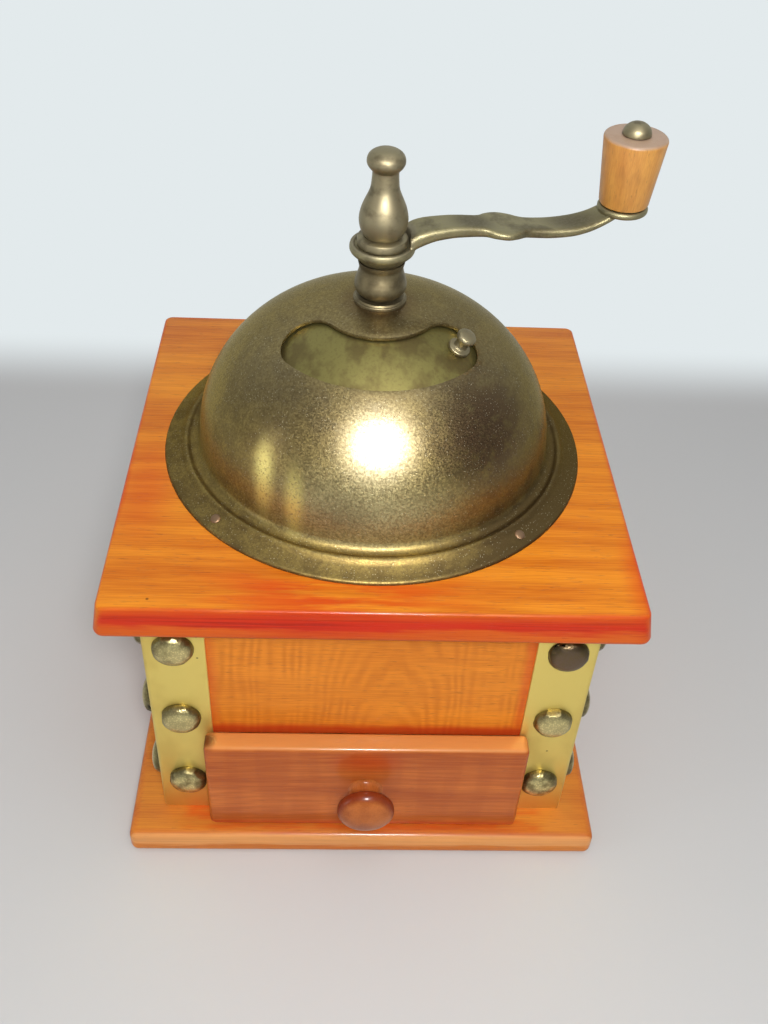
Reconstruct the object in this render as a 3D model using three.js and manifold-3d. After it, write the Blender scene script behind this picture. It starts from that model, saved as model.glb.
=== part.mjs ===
// Manual coffee grinder: a wooden case between two boards, with a brass dome, a crank and a drawer.
// Millimetres, +Z up. The origin is the middle of the base board's underside, and the front is -Y.

import * as THREE from 'three';
import { mergeVertices } from 'three/addons/utils/BufferGeometryUtils.js';
import Module from 'manifold-3d';

const wasm = await Module();
wasm.setup();

// Case
const case_width = 135.4;
const case_depth = 133.4;
const case_height = 97.5;
const panel_thickness = 10;

// Boards, which stand out past the case all round
const top_board_side_overhang = 10.9;
const top_board_front_overhang = 12.6;
const top_board_back_overhang = 8.9;
const top_board_thickness = 11.2;
const top_board_round = 2.8;
const top_board_corner = 3.2;
const base_board_side_overhang = 11.8;
const base_board_front_overhang = 12.8;
const base_board_thickness = 9.9;
const base_board_round = 2.6;
const base_board_corner = 3;

// Corner strips and their studs
const strip_width = 19;
const strip_thickness = 1;
const strip_corner_round = 1;
const stud_radius = 6.3;
const stud_height = 3.7;
const stud_shank_radius = 1.1;
const stud_shank_length = 7;
const stud_level_shares = [0.169, 0.505, 0.837];

// Drawer
const drawer_front_overlap = 2.45;
const drawer_front_height = 42.1;
const drawer_front_thickness = 7.2;
const drawer_front_round = 1.5;
const drawer_front_corner = 2;
const drawer_side_drop = 5.1;
const drawer_back_gap = 3.7;
const drawer_wall = 6;
const drawer_floor = 3;
const drawer_clearance = 0.5;
const drawer_lift = 0.5;
const drawer_knob_radius = 9.3;
const drawer_knob_length = 12.6;
const drawer_spigot_radius = 3.5;

// Dome: half an ellipsoid on a short flange, spun from one sheet
const dome_radius = 55.9;
const dome_height = 47.4;
const dome_sheet = 1;
const flange_width = 11.4;
const flange_height = 6.2;
const slot_middle_radius = 26.2;
const slot_half_width = 8;
const slot_half_angle = 52.5;
const nail_radius = 1.65;
const nail_head_height = 0.8;
const nail_shank_radius = 0.8;
const nail_length = 7;
const nail_angles = [-137.5, -48, 42.5, 132.5];

// Stepped bush on top of the dome, which carries the spindle
const bush_wall = 1.5;
const bush_lip = 2.6;
const bush_height = 1.2;

// Hopper door, a plate that turns under the dome, and its knob
const door_sheet = 0.9;
const door_gap = 0.6;
const door_margin = 4.3;
const door_margin_angle = 3.7;
const door_eye_width = 4.4;
const door_knob_radius = 3.4;
const door_knob_height = 6.2;
const door_knob_angle = 57.7;
const door_knob_offset = 1.1;
const door_rivet_radius = 1.3;
const door_rivet_head_radius = 2.2;
const door_rivet_head_height = 0.9;

// Mill housing and its outer burr
const funnel_mouth_radius = 29;
const funnel_depth = 16.6;
const throat_length = 2;
const housing_wall = 5.2;
const housing_neck_wall = 1.6;
const housing_flange_thickness = 3;
const burr_height = 19.4;
const burr_top_radius = 12.6;
const burr_bottom_radius = 17.6;
const burr_tooth_depth = 1.4;
const burr_wall = 1.7;
const burr_shoulder = 2.7;
const burr_teeth = 12;

// Bridges over and under the burrs
const bridge_width = 12;
const bridge_strap = 3;
const bridge_leg_margin = 1;
const bridge_foot_length = 12;
const bridge_clearance = 5.3;
const bridge_tube_wall = 3.2;
const screw_radius = 1.6;
const screw_head_radius = 3;
const screw_head_height = 2;
const screw_length = 12;
const lower_strap = 4;
const lower_boss_depth = 9;
const lower_boss_wall = 4.1;
const strap_screw_radius = 1.2;
const strap_screw_head_radius = 2.5;
const strap_screw_head_height = 1.6;
const strap_screw_length = 7;
const adjuster_radius = 3.6;
const adjuster_head_radius = 9;
const adjuster_head_height = 6;
const adjuster_free_length = 4;

// Spindle and inner burr
const spindle_radius = 3.5;
const spindle_step = 0.8;
const spindle_collar_step = 2.5;
const spindle_collar_height = 1.4;
const grinding_gap = 0.9;
const cone_rise = 2.1;

// Crank, its sleeve and its nut
const sleeve_radius = 7.7;
const sleeve_height = 11.1;
const hub_rim = 1.45;
const hub_height = 5.2;
const hub_recess_gap = 0.6;
const hub_recess_depth = 0.7;
const crank_radius = 72.6;
const crank_angle = 12;
const arm_root_sink = 1;
const arm_rise = 5.3;
const arm_width = 9.8;
const arm_thickness = 3.5;
const arm_end_rise = 7.1;
const end_disc_margin = 0.15;
const end_disc_thickness = 2;
const finial_foot_radius = 7.4;
const finial_radius = 7.05;
const finial_height = 28.3;
const finial_bore_depth = 12;

// Crank handle and its pin
const handle_bottom_radius = 7.35;
const handle_top_radius = 9.25;
const handle_height = 20.4;
const handle_edge_round = 0.9;
const pin_radius = 2;
const pin_cap_radius = 4.15;
const pin_cap_height = 3.5;
const pin_foot_radius = 2.5;
const pin_foot_height = 1.1;

// Clearances
const fit_gap = 0.3;
const seat_gap = 0.1;
const cut_overrun = 2;

// How finely round things are made
const round_sides = 24;
const dome_sides = 32;
const dome_steps = 8;
const door_steps = 5;
const small_sides = 12;
const stud_sides = 8;
const hole_sides = 6;
const bevel_steps = 3;

// Outlines of the turned pieces, as shares of each piece's radius and height
const stud_head_shares = [[1, 0], [0.8, 0.62], [0, 1]];
const nail_head_shares = [[1, 0], [0, 1]];
const bush_shares = [[1, 0.5], [0.93, 0.55], [0.91, 1]];
const sleeve_shares = [[0.73, 0], [0.86, 0.08], [1, 0.27], [0.98, 0.42], [0.86, 0.7], [0.84, 0.82],
  [0.9, 1]];
const hub_shares = [[0.69, 0], [0.72, 0.1], [0.9, 0.42], [1, 0.62], [1, 0.85], [0.97, 1]];
const finial_body_shares = [[0.72, 0.105], [0.87, 0.15], [1, 0.28], [0.95, 0.367],
  [0.61, 0.58], [0.53, 0.77], [0.7, 0.825], [0.766, 0.876], [0.7, 0.926], [0.45, 0.976], [0, 1]];
const finial_foot_shares = [[0.95, 0], [1, 0.02], [1, 0.085], [0.93, 0.1]];
const drawer_knob_shares = [[0.62, 0], [0.5, 0.07], [0.48, 0.25], [0.56, 0.4], [0.9, 0.5], [1, 0.62],
  [0.8, 0.86], [0.45, 0.96], [0, 1]];
const door_knob_shares = [[1, 0], [1, 0.14], [0.62, 0.22], [0.58, 0.62], [0.82, 0.7], [0.82, 0.92],
  [0.6, 1], [0, 1]];
const cap_shares = [[1, 0], [0.97, 0.3], [0.8, 0.66], [0.45, 0.92], [0, 1]];

// Flange outline, as shares of the flange's width past the dome and of its height
const flange_band_shares = [[0.904, 0.194], [0.588, 0.427]];
const flange_ridge_shares = [[0.412, 0.67], [0.263, 0.54], [0.09, 0.63]];
const flange_shares = [[1, 0], [1, 0.13], ...flange_band_shares, ...flange_ridge_shares];
const nail_band_share = 0.7;

// Stations of the crank arm: shares of its length, rise, width and thickness
const arm_shares = [
  [0, 0.5, 1.05, 1.42], [0.03, 0.74, 1.08, 1.34], [0.064, 0.87, 1.1, 1.24], [0.1, 0.94, 1.08, 1.12],
  [0.137, 0.97, 1.05, 1.04], [0.198, 1, 1, 1], [0.259, 0.97, 0.96, 0.98], [0.32, 0.89, 0.97, 0.9],
  [0.35, 0.84, 1.1, 0.82], [0.381, 0.78, 1.4, 0.74], [0.436, 0.71, 1.6, 0.7], [0.491, 0.66, 1.36, 0.72],
  [0.529, 0.62, 1.03, 0.8], [0.569, 0.56, 0.94, 0.84], [0.655, 0.48, 0.97, 0.84], [0.747, 0.49, 1.04, 0.78],
  [0.813, 0.6, 1.03, 0.72], [0.867, 0.79, 1, 0.68], [0.922, 1.08, 0.97, 0.62], [0.96, 1.22, 0.87, 0.45]];
const arm_chamfer_share = 0.3;

// Levels and places worked out from the sizes
const strip_face_x = case_width / 2 + strip_thickness;
const strip_face_y = case_depth / 2 + strip_thickness;
const opening_half_width = strip_face_x - strip_width;
const case_top = base_board_thickness + case_height;
const board_top = case_top + top_board_thickness;
const drawer_bottom_level = base_board_thickness + drawer_lift;
const drawer_top = drawer_bottom_level + drawer_front_height;
const drawer_half_width = opening_half_width - drawer_clearance;
const drawer_face = -strip_face_y - fit_gap;
const drawer_end = case_depth / 2 - panel_thickness - drawer_back_gap;
const drawer_side_top = drawer_top - drawer_side_drop;

const dome_middle = board_top + flange_height;
const bush_neck_radius = spindle_radius + fit_gap + bush_wall;
const bush_radius = bush_neck_radius + bush_lip;
const door_outer_inset = dome_sheet + door_gap;
const door_inner_inset = door_outer_inset + door_sheet;
const door_reach = slot_middle_radius + slot_half_width + door_margin;
const slot_end_angle = slot_half_angle + degrees(Math.asin(slot_half_width / slot_middle_radius));
const door_half_angle = slot_end_angle + door_margin_angle;
const door_eye_radius = bush_neck_radius + fit_gap + door_eye_width;

const burr_radius = burr_bottom_radius + burr_tooth_depth + burr_wall;
const burr_seat_radius = burr_radius + fit_gap;
const throat_radius = burr_seat_radius - burr_shoulder - fit_gap;
const housing_radius = burr_seat_radius + housing_wall;
const housing_neck_radius = funnel_mouth_radius + housing_neck_wall;
const housing_bottom = board_top - funnel_depth - throat_length - burr_height - 2 * fit_gap;
const housing_top = board_top + housing_flange_thickness;
const burr_bottom = housing_bottom + fit_gap;
const burr_top = burr_bottom + burr_height;
const leg_inner = funnel_mouth_radius + bridge_leg_margin;
const leg_outer = leg_inner + bridge_strap;
const foot_end = leg_inner + bridge_foot_length;
const bridge_screw_x = (leg_outer + foot_end) / 2;
const bridge_tube_radius = spindle_radius + fit_gap + bridge_tube_wall;
const bridge_tube_top = shell_level(door_inner_inset, bridge_tube_radius) - fit_gap;
const bridge_top = shell_level(door_inner_inset, leg_outer) - bridge_clearance;
const strap_screw_x = burr_seat_radius + housing_wall / 2;

const spindle_foot = housing_bottom + fit_gap;
const spindle_end_radius = spindle_radius - spindle_step;
const collar_level = spindle_foot + fit_gap;
const cone_bottom = collar_level + spindle_collar_height + fit_gap;
const cone_top = burr_top + cone_rise;
const bush_top = shell_level(0, bush_neck_radius) + seat_gap + bush_height;
const sleeve_bottom = bush_top + fit_gap;
const hub_bottom = sleeve_bottom + sleeve_height + seat_gap;
const hub_top = hub_bottom + hub_height;
const recess_radius = finial_foot_radius + hub_recess_gap;
const recess_level = hub_top - hub_recess_depth;
const hub_radius = recess_radius + hub_rim;
const finial_bottom = recess_level + seat_gap;
const disc_top = hub_top + arm_end_rise;
const disc_bottom = disc_top - end_disc_thickness;
const handle_bottom = disc_top + fit_gap;
const handle_top = handle_bottom + handle_height;

// Finishes
const board_wood = { color: 0xd2751f, roughness: 0.3, metalness: 0 };
const case_wood = { color: 0xc8742c, roughness: 0.35, metalness: 0 };
const drawer_wood = { color: 0xb85e2e, roughness: 0.32, metalness: 0 };
const plain_wood = { color: 0xb98a55, roughness: 0.7, metalness: 0 };
const handle_wood = { color: 0xc8873c, roughness: 0.4, metalness: 0 };
const strip_brass = { color: 0xd2be64, roughness: 0.35, metalness: 0.8 };
const stud_brass = { color: 0x8a7a3c, roughness: 0.4, metalness: 0.9 };
const dome_brass = { color: 0x857635, roughness: 0.35, metalness: 0.9 };
const door_brass = { color: 0xa3944c, roughness: 0.35, metalness: 0.9 };
const turned_bronze = { color: 0x786a4b, roughness: 0.4, metalness: 0.9 };
const cast_brass = { color: 0x7a6e3c, roughness: 0.5, metalness: 0.85 };
const copper = { color: 0xa0644b, roughness: 0.5, metalness: 0.9 };
const cast_iron = { color: 0x4a4a4c, roughness: 0.7, metalness: 0.7 };
const steel = { color: 0x8c8f94, roughness: 0.4, metalness: 0.9 };

// Angles and levels

function radians(angle) {
  return THREE.MathUtils.degToRad(angle);
}

function degrees(angle) {
  return THREE.MathUtils.radToDeg(angle);
}

// Level of the dome's outer face, or of a face set in from it, at a radius from the axis
function shell_level(inset, at) {
  return dome_middle + (dome_height - inset) * Math.sqrt(1 - (at / (dome_radius - inset)) ** 2);
}

// How far a piece that stands square on the dome leans outwards, at a radius from the axis
function shell_lean(at) {
  return Math.atan2(at / dome_radius ** 2, Math.sqrt(1 - (at / dome_radius) ** 2) / dome_height);
}

// Radius of the outer burr's teeth at a level, which the inner burr follows
function burr_tip_radius(level) {
  const down = (burr_top - level) / burr_height;
  return burr_top_radius + (burr_bottom_radius - burr_top_radius) * down;
}

// Solids, cuts and joins

function bare(geometry) {
  const copy = geometry.clone();
  copy.deleteAttribute('normal');
  copy.deleteAttribute('uv');
  return mergeVertices(copy);
}

function to_solid(geometry) {
  const whole = bare(geometry);
  const kept = [];
  for (let i = 0; i < whole.index.count; i += 3) {
    const [a, b, c] = [0, 1, 2].map((j) => whole.index.getX(i + j));
    if (a !== b && b !== c && c !== a) kept.push(a, b, c);
  }
  return new wasm.Manifold(new wasm.Mesh({
    numProp: 3,
    vertProperties: new Float32Array(whole.attributes.position.array),
    triVerts: new Uint32Array(kept),
  }));
}

function from_solid(solid) {
  const mesh = solid.getMesh();
  const geometry = new THREE.BufferGeometry();
  geometry.setAttribute('position', new THREE.BufferAttribute(mesh.vertProperties, 3));
  geometry.setIndex(new THREE.BufferAttribute(mesh.triVerts, 1));
  geometry.computeVertexNormals();
  return geometry;
}

function cut(geometry, ...tools) {
  return from_solid(tools.reduce((left, tool) => left.subtract(to_solid(tool)), to_solid(geometry)));
}

function join(...geometries) {
  return from_solid(geometries.map(to_solid).reduce((whole, next) => whole.add(next)));
}

function meet(first, second) {
  return from_solid(to_solid(first).intersect(to_solid(second)));
}

// Shapes

function box(low, high) {
  const size = high.map((value, i) => value - low[i]);
  const middle = high.map((value, i) => (value + low[i]) / 2);
  return new THREE.BoxGeometry(...size).translate(...middle);
}

// Turned about Z from [radius, level] points that start and end on the axis or close on themselves
function turned(points, sides = round_sides) {
  const profile = points.map(([radius, level]) => new THREE.Vector2(radius, level));
  return new THREE.LatheGeometry(profile, sides).rotateX(Math.PI / 2);
}

function rod(radius, low, high, sides = round_sides) {
  return turned([[0, low], [radius, low], [radius, high], [0, high]], sides);
}

// A turned piece with a bore right through it, from its outer points, lowest first
function sleeve(points, bore, sides = round_sides) {
  const [low, high] = [points[0][1], points.at(-1)[1]];
  return turned([[bore, low], ...points, [bore, high], [bore, low]], sides);
}

function outline(shares, radius, low, height) {
  return shares.map(([across, up]) => [across * radius, low + up * height]);
}

function rounded_rectangle(width, depth, corner) {
  const [x, y] = [width / 2 - corner, depth / 2 - corner];
  const shape = new THREE.Shape();
  shape.absarc(x, y, corner, 0, Math.PI / 2);
  shape.absarc(-x, y, corner, Math.PI / 2, Math.PI);
  shape.absarc(-x, -y, corner, Math.PI, 1.5 * Math.PI);
  shape.absarc(x, -y, corner, 1.5 * Math.PI, 2 * Math.PI);
  return shape;
}

// A board that lies on level 0, with all its edges rounded
function rounded_board(width, depth, thickness, corner, round) {
  return new THREE.ExtrudeGeometry(rounded_rectangle(width, depth, corner), {
    depth: thickness - 2 * round,
    bevelThickness: round,
    bevelSize: round,
    bevelOffset: -round,
    bevelSegments: bevel_steps,
    curveSegments: bevel_steps,
  }).translate(0, 0, round);
}

function plate(shape, thickness, steps = bevel_steps) {
  return new THREE.ExtrudeGeometry(shape, { depth: thickness, bevelEnabled: false, curveSegments: steps });
}

function polygon(points) {
  return new THREE.Shape(points.map(([x, y]) => new THREE.Vector2(x, y)));
}

// Skin over rings with as many points each; the row of rings closes on itself or gets flat ends
function loft(rings, closes) {
  const count = rings[0].length;
  const spans = closes ? rings.length : rings.length - 1;
  const corners = [];
  for (let i = 0; i < spans; i++) {
    const [here, there] = [i * count, ((i + 1) % rings.length) * count];
    for (let j = 0; j < count; j++) {
      const next = (j + 1) % count;
      corners.push(here + j, here + next, there + next, here + j, there + next, there + j);
    }
  }
  if (!closes) {
    const last = (rings.length - 1) * count;
    for (let j = 1; j < count - 1; j++) corners.push(0, j + 1, j, last, last + j, last + j + 1);
  }
  const geometry = new THREE.BufferGeometry();
  geometry.setAttribute('position', new THREE.Float32BufferAttribute(rings.flat(2), 3));
  geometry.setIndex(corners);
  geometry.computeVertexNormals();
  return geometry;
}

// The points of a closed shell: an outer outline from the rim to the pole, and back one sheet inside it
function shell_profile(outer, sheet) {
  const inner = outer.map(([radius, level], i) => {
    const [before, after] = [outer[Math.max(i - 1, 0)], outer[Math.min(i + 1, outer.length - 1)]];
    const [out, up] = [after[1] - before[1], before[0] - after[0]];
    const length = Math.hypot(out, up);
    return [radius - sheet * out / length, level - sheet * up / length];
  });
  return [...outer, ...inner.reverse(), outer[0]];
}

// Moved to a radius and an angle from the front, counted towards the right, and leant outwards
function stood(geometry, circle, angle, level, lean) {
  return geometry.rotateY(lean).translate(circle, 0, level).rotateZ(radians(angle) - Math.PI / 2);
}

// The whole grinder, with the pieces that turn with the crank in a group of their own
const grinder = new THREE.Group();
const crank = new THREE.Group();
crank.rotation.z = radians(crank_angle);
grinder.add(crank);

function add(name, geometry, finish, parent = grinder) {
  const mesh = new THREE.Mesh(geometry, new THREE.MeshStandardMaterial(finish));
  mesh.name = name;
  parent.add(mesh);
  return mesh;
}

// Studs: their places, the studs themselves and the holes for their shanks

function corner_name(sx, sy) {
  return `${sy < 0 ? 'front' : 'back'}_${sx < 0 ? 'left' : 'right'}`;
}

function stud_places() {
  const places = [];
  const [strip_x, strip_y] = [strip_face_x - strip_width / 2, strip_face_y - strip_width / 2];
  for (const sy of [-1, 1]) {
    for (const sx of [-1, 1]) {
      stud_level_shares.forEach((share, i) => {
        const level = base_board_thickness + share * case_height;
        const name = `stud_${corner_name(sx, sy)}`;
        const end_at = [sx * strip_x, sy * strip_face_y, level];
        const side_at = [sx * strip_face_x, sy * strip_y, level];
        places.push({ name: `${name}_end_${i + 1}`, at: end_at, turn: [-sy, 0] });
        places.push({ name: `${name}_side_${i + 1}`, at: side_at, turn: [0, sx] });
      });
    }
  }
  return places;
}

// Points of a shank that runs down from a head's seat
function shank_points(radius, depth) {
  return [[0, -depth], [radius, -depth], [radius, seat_gap]];
}

function stud_shape() {
  const head = outline(stud_head_shares, stud_radius, seat_gap, stud_height);
  return turned([...shank_points(stud_shank_radius, stud_shank_length), ...head], stud_sides);
}

function stud_holes() {
  return stud_places().map(({ at, turn }) => {
    const hole = rod(stud_shank_radius + fit_gap, -stud_shank_length - fit_gap, cut_overrun, hole_sides);
    return hole.rotateX(turn[0] * Math.PI / 2).rotateY(turn[1] * Math.PI / 2).translate(...at);
  });
}

function add_studs() {
  for (const { name, at, turn } of stud_places()) {
    const stud = add(name, stud_shape(), stud_brass);
    stud.position.set(...at);
    stud.rotation.set(turn[0] * Math.PI / 2, turn[1] * Math.PI / 2, 0);
  }
}

// Nails through the dome's flange

function placed_nail(geometry, angle) {
  const [[outer, low], [inner, high]] = flange_band_shares;
  const across = outer + nail_band_share * (inner - outer);
  const up = low + nail_band_share * (high - low);
  const lean = Math.atan2(flange_height * (high - low), flange_width * (outer - inner));
  return stood(geometry, dome_radius + across * flange_width, angle, board_top + up * flange_height, lean);
}

function nail_shape() {
  const head = outline(nail_head_shares, nail_radius, seat_gap, nail_head_height);
  return turned([...shank_points(nail_shank_radius, nail_length), ...head], small_sides);
}

function nail_holes() {
  const [radius, depth] = [nail_shank_radius + fit_gap, nail_length + fit_gap];
  return nail_angles.map((angle) => placed_nail(rod(radius, -depth, cut_overrun, hole_sides), angle));
}

function add_nails() {
  nail_angles.forEach((angle, i) => add(`dome_nail_${i + 1}`, placed_nail(nail_shape(), angle), copper));
}

// Boards and case

function bridge_screw_holes() {
  const foot = housing_top + bridge_strap - screw_length - fit_gap;
  return [-1, 1].map((side) => rod(screw_radius + fit_gap, foot, housing_top + cut_overrun, hole_sides)
    .translate(side * bridge_screw_x, 0, 0));
}

// The top board, rounded below and sharp above, which stands out less at the back than at the front
function top_board_blank() {
  const width = case_width + 2 * top_board_side_overhang;
  const depth = case_depth + top_board_front_overhang + top_board_back_overhang;
  const shift = (top_board_back_overhang - top_board_front_overhang) / 2;
  const thickness = top_board_thickness + top_board_round;
  const blank = rounded_board(width, depth, thickness, top_board_corner, top_board_round);
  const planed_off = box([-width, -depth, top_board_thickness], [width, depth, thickness + cut_overrun]);
  return cut(blank, planed_off).translate(0, shift, case_top);
}

function add_boards() {
  const width = case_width + 2 * base_board_side_overhang;
  const depth = case_depth + 2 * base_board_front_overhang;
  const base = rounded_board(width, depth, base_board_thickness, base_board_corner, base_board_round);
  const mouth = rod(housing_neck_radius + fit_gap, case_top - cut_overrun, board_top + cut_overrun);
  const holes = [mouth, ...bridge_screw_holes(), ...nail_holes()];
  add('base_board', base, board_wood);
  add('top_board', cut(top_board_blank(), ...holes), board_wood);
}

function add_case() {
  const [x, y] = [case_width / 2, case_depth / 2];
  const holes = stud_holes();
  const left = box([-x, -y, base_board_thickness], [-opening_half_width, y, case_top]);
  const right = box([opening_half_width, -y, base_board_thickness], [x, y, case_top]);
  const panel_bottom = drawer_top - drawer_front_overlap;
  const front = box([-opening_half_width, -y, panel_bottom],
    [opening_half_width, panel_thickness - y, case_top]);
  const back = box([-opening_half_width, y - panel_thickness, base_board_thickness],
    [opening_half_width, y, case_top]);
  add('left_wall', cut(left, ...holes), case_wood);
  add('right_wall', cut(right, ...holes), case_wood);
  add('front_panel', front, case_wood);
  add('back_wall', back, case_wood);
}

// A corner strip's section, with its outer corner at the case's corner on the sides sx and sy
function strip_section(sx, sy) {
  const [w, t, r] = [strip_width, strip_thickness, strip_corner_round];
  const points = [[w, 0], [w, t], [t, t], [t, w], [0, w]];
  for (let i = 0; i <= bevel_steps; i++) {
    const angle = Math.PI / 2 * i / bevel_steps;
    points.push([r - r * Math.cos(angle), r - r * Math.sin(angle)]);
  }
  return polygon(points.map(([x, y]) => [sx * (strip_face_x - x), sy * (strip_face_y - y)]));
}

function add_strips() {
  const holes = stud_holes();
  for (const sy of [-1, 1]) {
    for (const sx of [-1, 1]) {
      const strip = plate(strip_section(sx, sy), case_height).translate(0, 0, base_board_thickness);
      add(`corner_strip_${corner_name(sx, sy)}`, cut(strip, ...holes), strip_brass);
    }
  }
}

// Drawer

function add_drawer() {
  const [x, inner, low] = [drawer_half_width, drawer_half_width - drawer_wall, drawer_bottom_level];
  const [floor_top, side_top] = [low + drawer_floor, drawer_side_top];
  const back_face = drawer_end - drawer_wall;
  add('drawer_bottom', box([-x, drawer_face, low], [x, drawer_end, floor_top]), plain_wood);
  add('drawer_left_side', box([-x, drawer_face, floor_top], [-inner, drawer_end, side_top]), plain_wood);
  add('drawer_right_side', box([inner, drawer_face, floor_top], [x, drawer_end, side_top]), plain_wood);
  add('drawer_back', box([-inner, back_face, floor_top], [inner, drawer_end, side_top]), plain_wood);
  add_drawer_front();
}

function add_drawer_front() {
  const middle = drawer_bottom_level + drawer_front_height / 2;
  const front = rounded_board(2 * (opening_half_width + drawer_front_overlap), drawer_front_height,
    drawer_front_thickness, drawer_front_corner, drawer_front_round);
  const hole = rod(drawer_spigot_radius + fit_gap, -cut_overrun, drawer_front_thickness + cut_overrun,
    small_sides);
  const board = add('drawer_front', cut(front, hole), drawer_wood);
  board.position.set(0, drawer_face, middle);
  board.rotation.x = Math.PI / 2;
  const spigot = [[0, -drawer_front_thickness], [drawer_spigot_radius, -drawer_front_thickness],
    [drawer_spigot_radius, seat_gap]];
  const head = outline(drawer_knob_shares, drawer_knob_radius, seat_gap, drawer_knob_length);
  const knob = add('drawer_knob', turned([...spigot, ...head]), drawer_wood);
  knob.position.set(0, drawer_face - drawer_front_thickness, middle);
  knob.rotation.x = Math.PI / 2;
}

// Dome, its bush and the hopper door

// Points of the dome's outer face, or of a face set in from it, from one radius in to another
function shell_points(inset, from_radius, to_radius, steps) {
  const [start, end] = [from_radius, to_radius].map((at) => Math.acos(at / (dome_radius - inset)));
  const points = [];
  for (let i = 0; i <= steps; i++) {
    const angle = start + (end - start) * i / steps;
    const [radius, height] = [dome_radius - inset, dome_height - inset];
    points.push([radius * Math.cos(angle), dome_middle + height * Math.sin(angle)]);
  }
  return points;
}

// The bean shaped opening: a slot along an arc, with round ends
function slot_shape() {
  const [front, half] = [-Math.PI / 2, radians(slot_half_angle)];
  const end = (angle) => [slot_middle_radius * Math.cos(angle), slot_middle_radius * Math.sin(angle)];
  const shape = new THREE.Shape();
  shape.absarc(0, 0, slot_middle_radius + slot_half_width, front - half, front + half);
  shape.absarc(...end(front + half), slot_half_width, front + half, front + half + Math.PI);
  shape.absarc(0, 0, slot_middle_radius - slot_half_width, front + half, front - half, true);
  shape.absarc(...end(front - half), slot_half_width, front - half + Math.PI, front - half + 2 * Math.PI);
  return shape;
}

function add_dome() {
  const flange = flange_shares.map(([out, up]) => (
    [dome_radius + out * flange_width, board_top + up * flange_height]));
  const outer = [...flange, ...shell_points(0, dome_radius, bush_neck_radius + fit_gap, dome_steps)];
  const shell = turned(shell_profile(outer, dome_sheet), dome_sides);
  const slot = plate(slot_shape(), dome_height + cut_overrun, dome_steps).translate(0, 0, dome_middle);
  add('dome', cut(shell, slot, ...nail_holes()), dome_brass);
}

function add_bush() {
  const lip = [bush_neck_radius, bush_radius].map((at) => [at, shell_level(0, at) + seat_gap]);
  const steps = outline(bush_shares, bush_radius, bush_top - bush_height, bush_height);
  const points = [[bush_neck_radius, bridge_tube_top + seat_gap], ...lip, ...steps];
  add('dome_bush', sleeve(points, spindle_radius + fit_gap), turned_bronze);
}

// A sector that passes under the whole opening, with an eye round the bush
function door_shape() {
  const [front, half] = [-Math.PI / 2, radians(door_half_angle)];
  const shape = new THREE.Shape();
  shape.absarc(0, 0, door_reach, front - half, front + half);
  shape.absarc(0, 0, door_eye_radius, front + half, front - half + 2 * Math.PI);
  return shape;
}

function placed_door_knob(geometry) {
  const circle = slot_middle_radius + door_knob_offset;
  return stood(geometry, circle, door_knob_angle, shell_level(door_outer_inset, circle), shell_lean(circle));
}

function add_door() {
  const reach = door_reach + cut_overrun;
  const eye = bush_neck_radius + fit_gap;
  const outer = shell_points(door_outer_inset, reach, eye, door_steps);
  const inner = shell_points(door_inner_inset, reach, eye, door_steps);
  const shell = turned([...outer, ...inner.reverse(), outer[0]], dome_sides);
  const plan = plate(door_shape(), dome_height + cut_overrun, dome_steps).translate(0, 0, dome_middle);
  const hole = rod(door_rivet_radius + fit_gap, -cut_overrun, cut_overrun, hole_sides);
  add('hopper_door', cut(meet(shell, plan), placed_door_knob(hole)), door_brass);
  add_door_knob();
}

function add_door_knob() {
  const head_top = -door_sheet - fit_gap;
  const head_bottom = head_top - door_rivet_head_height;
  const rivet = [[0, head_bottom], [door_rivet_head_radius, head_bottom], [door_rivet_head_radius, head_top],
    [door_rivet_radius, head_top], [door_rivet_radius, seat_gap]];
  const knob = turned([...rivet, ...outline(door_knob_shares, door_knob_radius, seat_gap, door_knob_height)],
    small_sides);
  add('door_knob', placed_door_knob(knob), turned_bronze);
}

// Mill

function add_housing() {
  const waist = throat_radius + housing_wall;
  const throat_bottom = burr_top + fit_gap;
  const throat_top = throat_bottom + throat_length;
  const neck_bottom = board_top - (housing_neck_radius - waist) / 2;
  const points = [
    [burr_seat_radius, housing_bottom], [housing_radius, housing_bottom], [housing_radius, throat_bottom],
    [waist, throat_top], [housing_neck_radius, neck_bottom], [housing_neck_radius, board_top],
    [foot_end, board_top], [foot_end, housing_top], [funnel_mouth_radius, housing_top],
    [throat_radius, throat_top], [throat_radius, throat_bottom], [burr_seat_radius, throat_bottom],
    [burr_seat_radius, housing_bottom]];
  add('mill_housing', cut(turned(points), ...bridge_screw_holes(), ...strap_screw_holes()), cast_iron);
}

// A ring of points with a tooth to every pair, or a plain circle where both radii are alike
function tooth_ring(tip, root, level) {
  const count = 2 * burr_teeth;
  return Array.from({ length: count }, (_, i) => {
    const [angle, radius] = [2 * Math.PI * i / count, i % 2 ? root : tip];
    return [radius * Math.cos(angle), radius * Math.sin(angle), level];
  });
}

function add_outer_burr() {
  const [low, high] = [burr_bottom_radius, burr_top_radius];
  add('outer_burr', loft([
    tooth_ring(burr_radius, burr_radius, burr_bottom),
    tooth_ring(burr_radius, burr_radius, burr_top),
    tooth_ring(high, high + burr_tooth_depth, burr_top),
    tooth_ring(low, low + burr_tooth_depth, burr_bottom),
  ], true), steel);
}

function add_inner_burr() {
  const bore = spindle_radius + fit_gap;
  const [low, high] = [cone_bottom, cone_top].map((level) => burr_tip_radius(level) - grinding_gap);
  add('inner_burr', loft([
    tooth_ring(low, low - burr_tooth_depth, cone_bottom),
    tooth_ring(high, high - burr_tooth_depth, cone_top),
    tooth_ring(bore, bore, cone_top),
    tooth_ring(bore, bore, cone_bottom),
  ], true), steel, crank);
}

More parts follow.
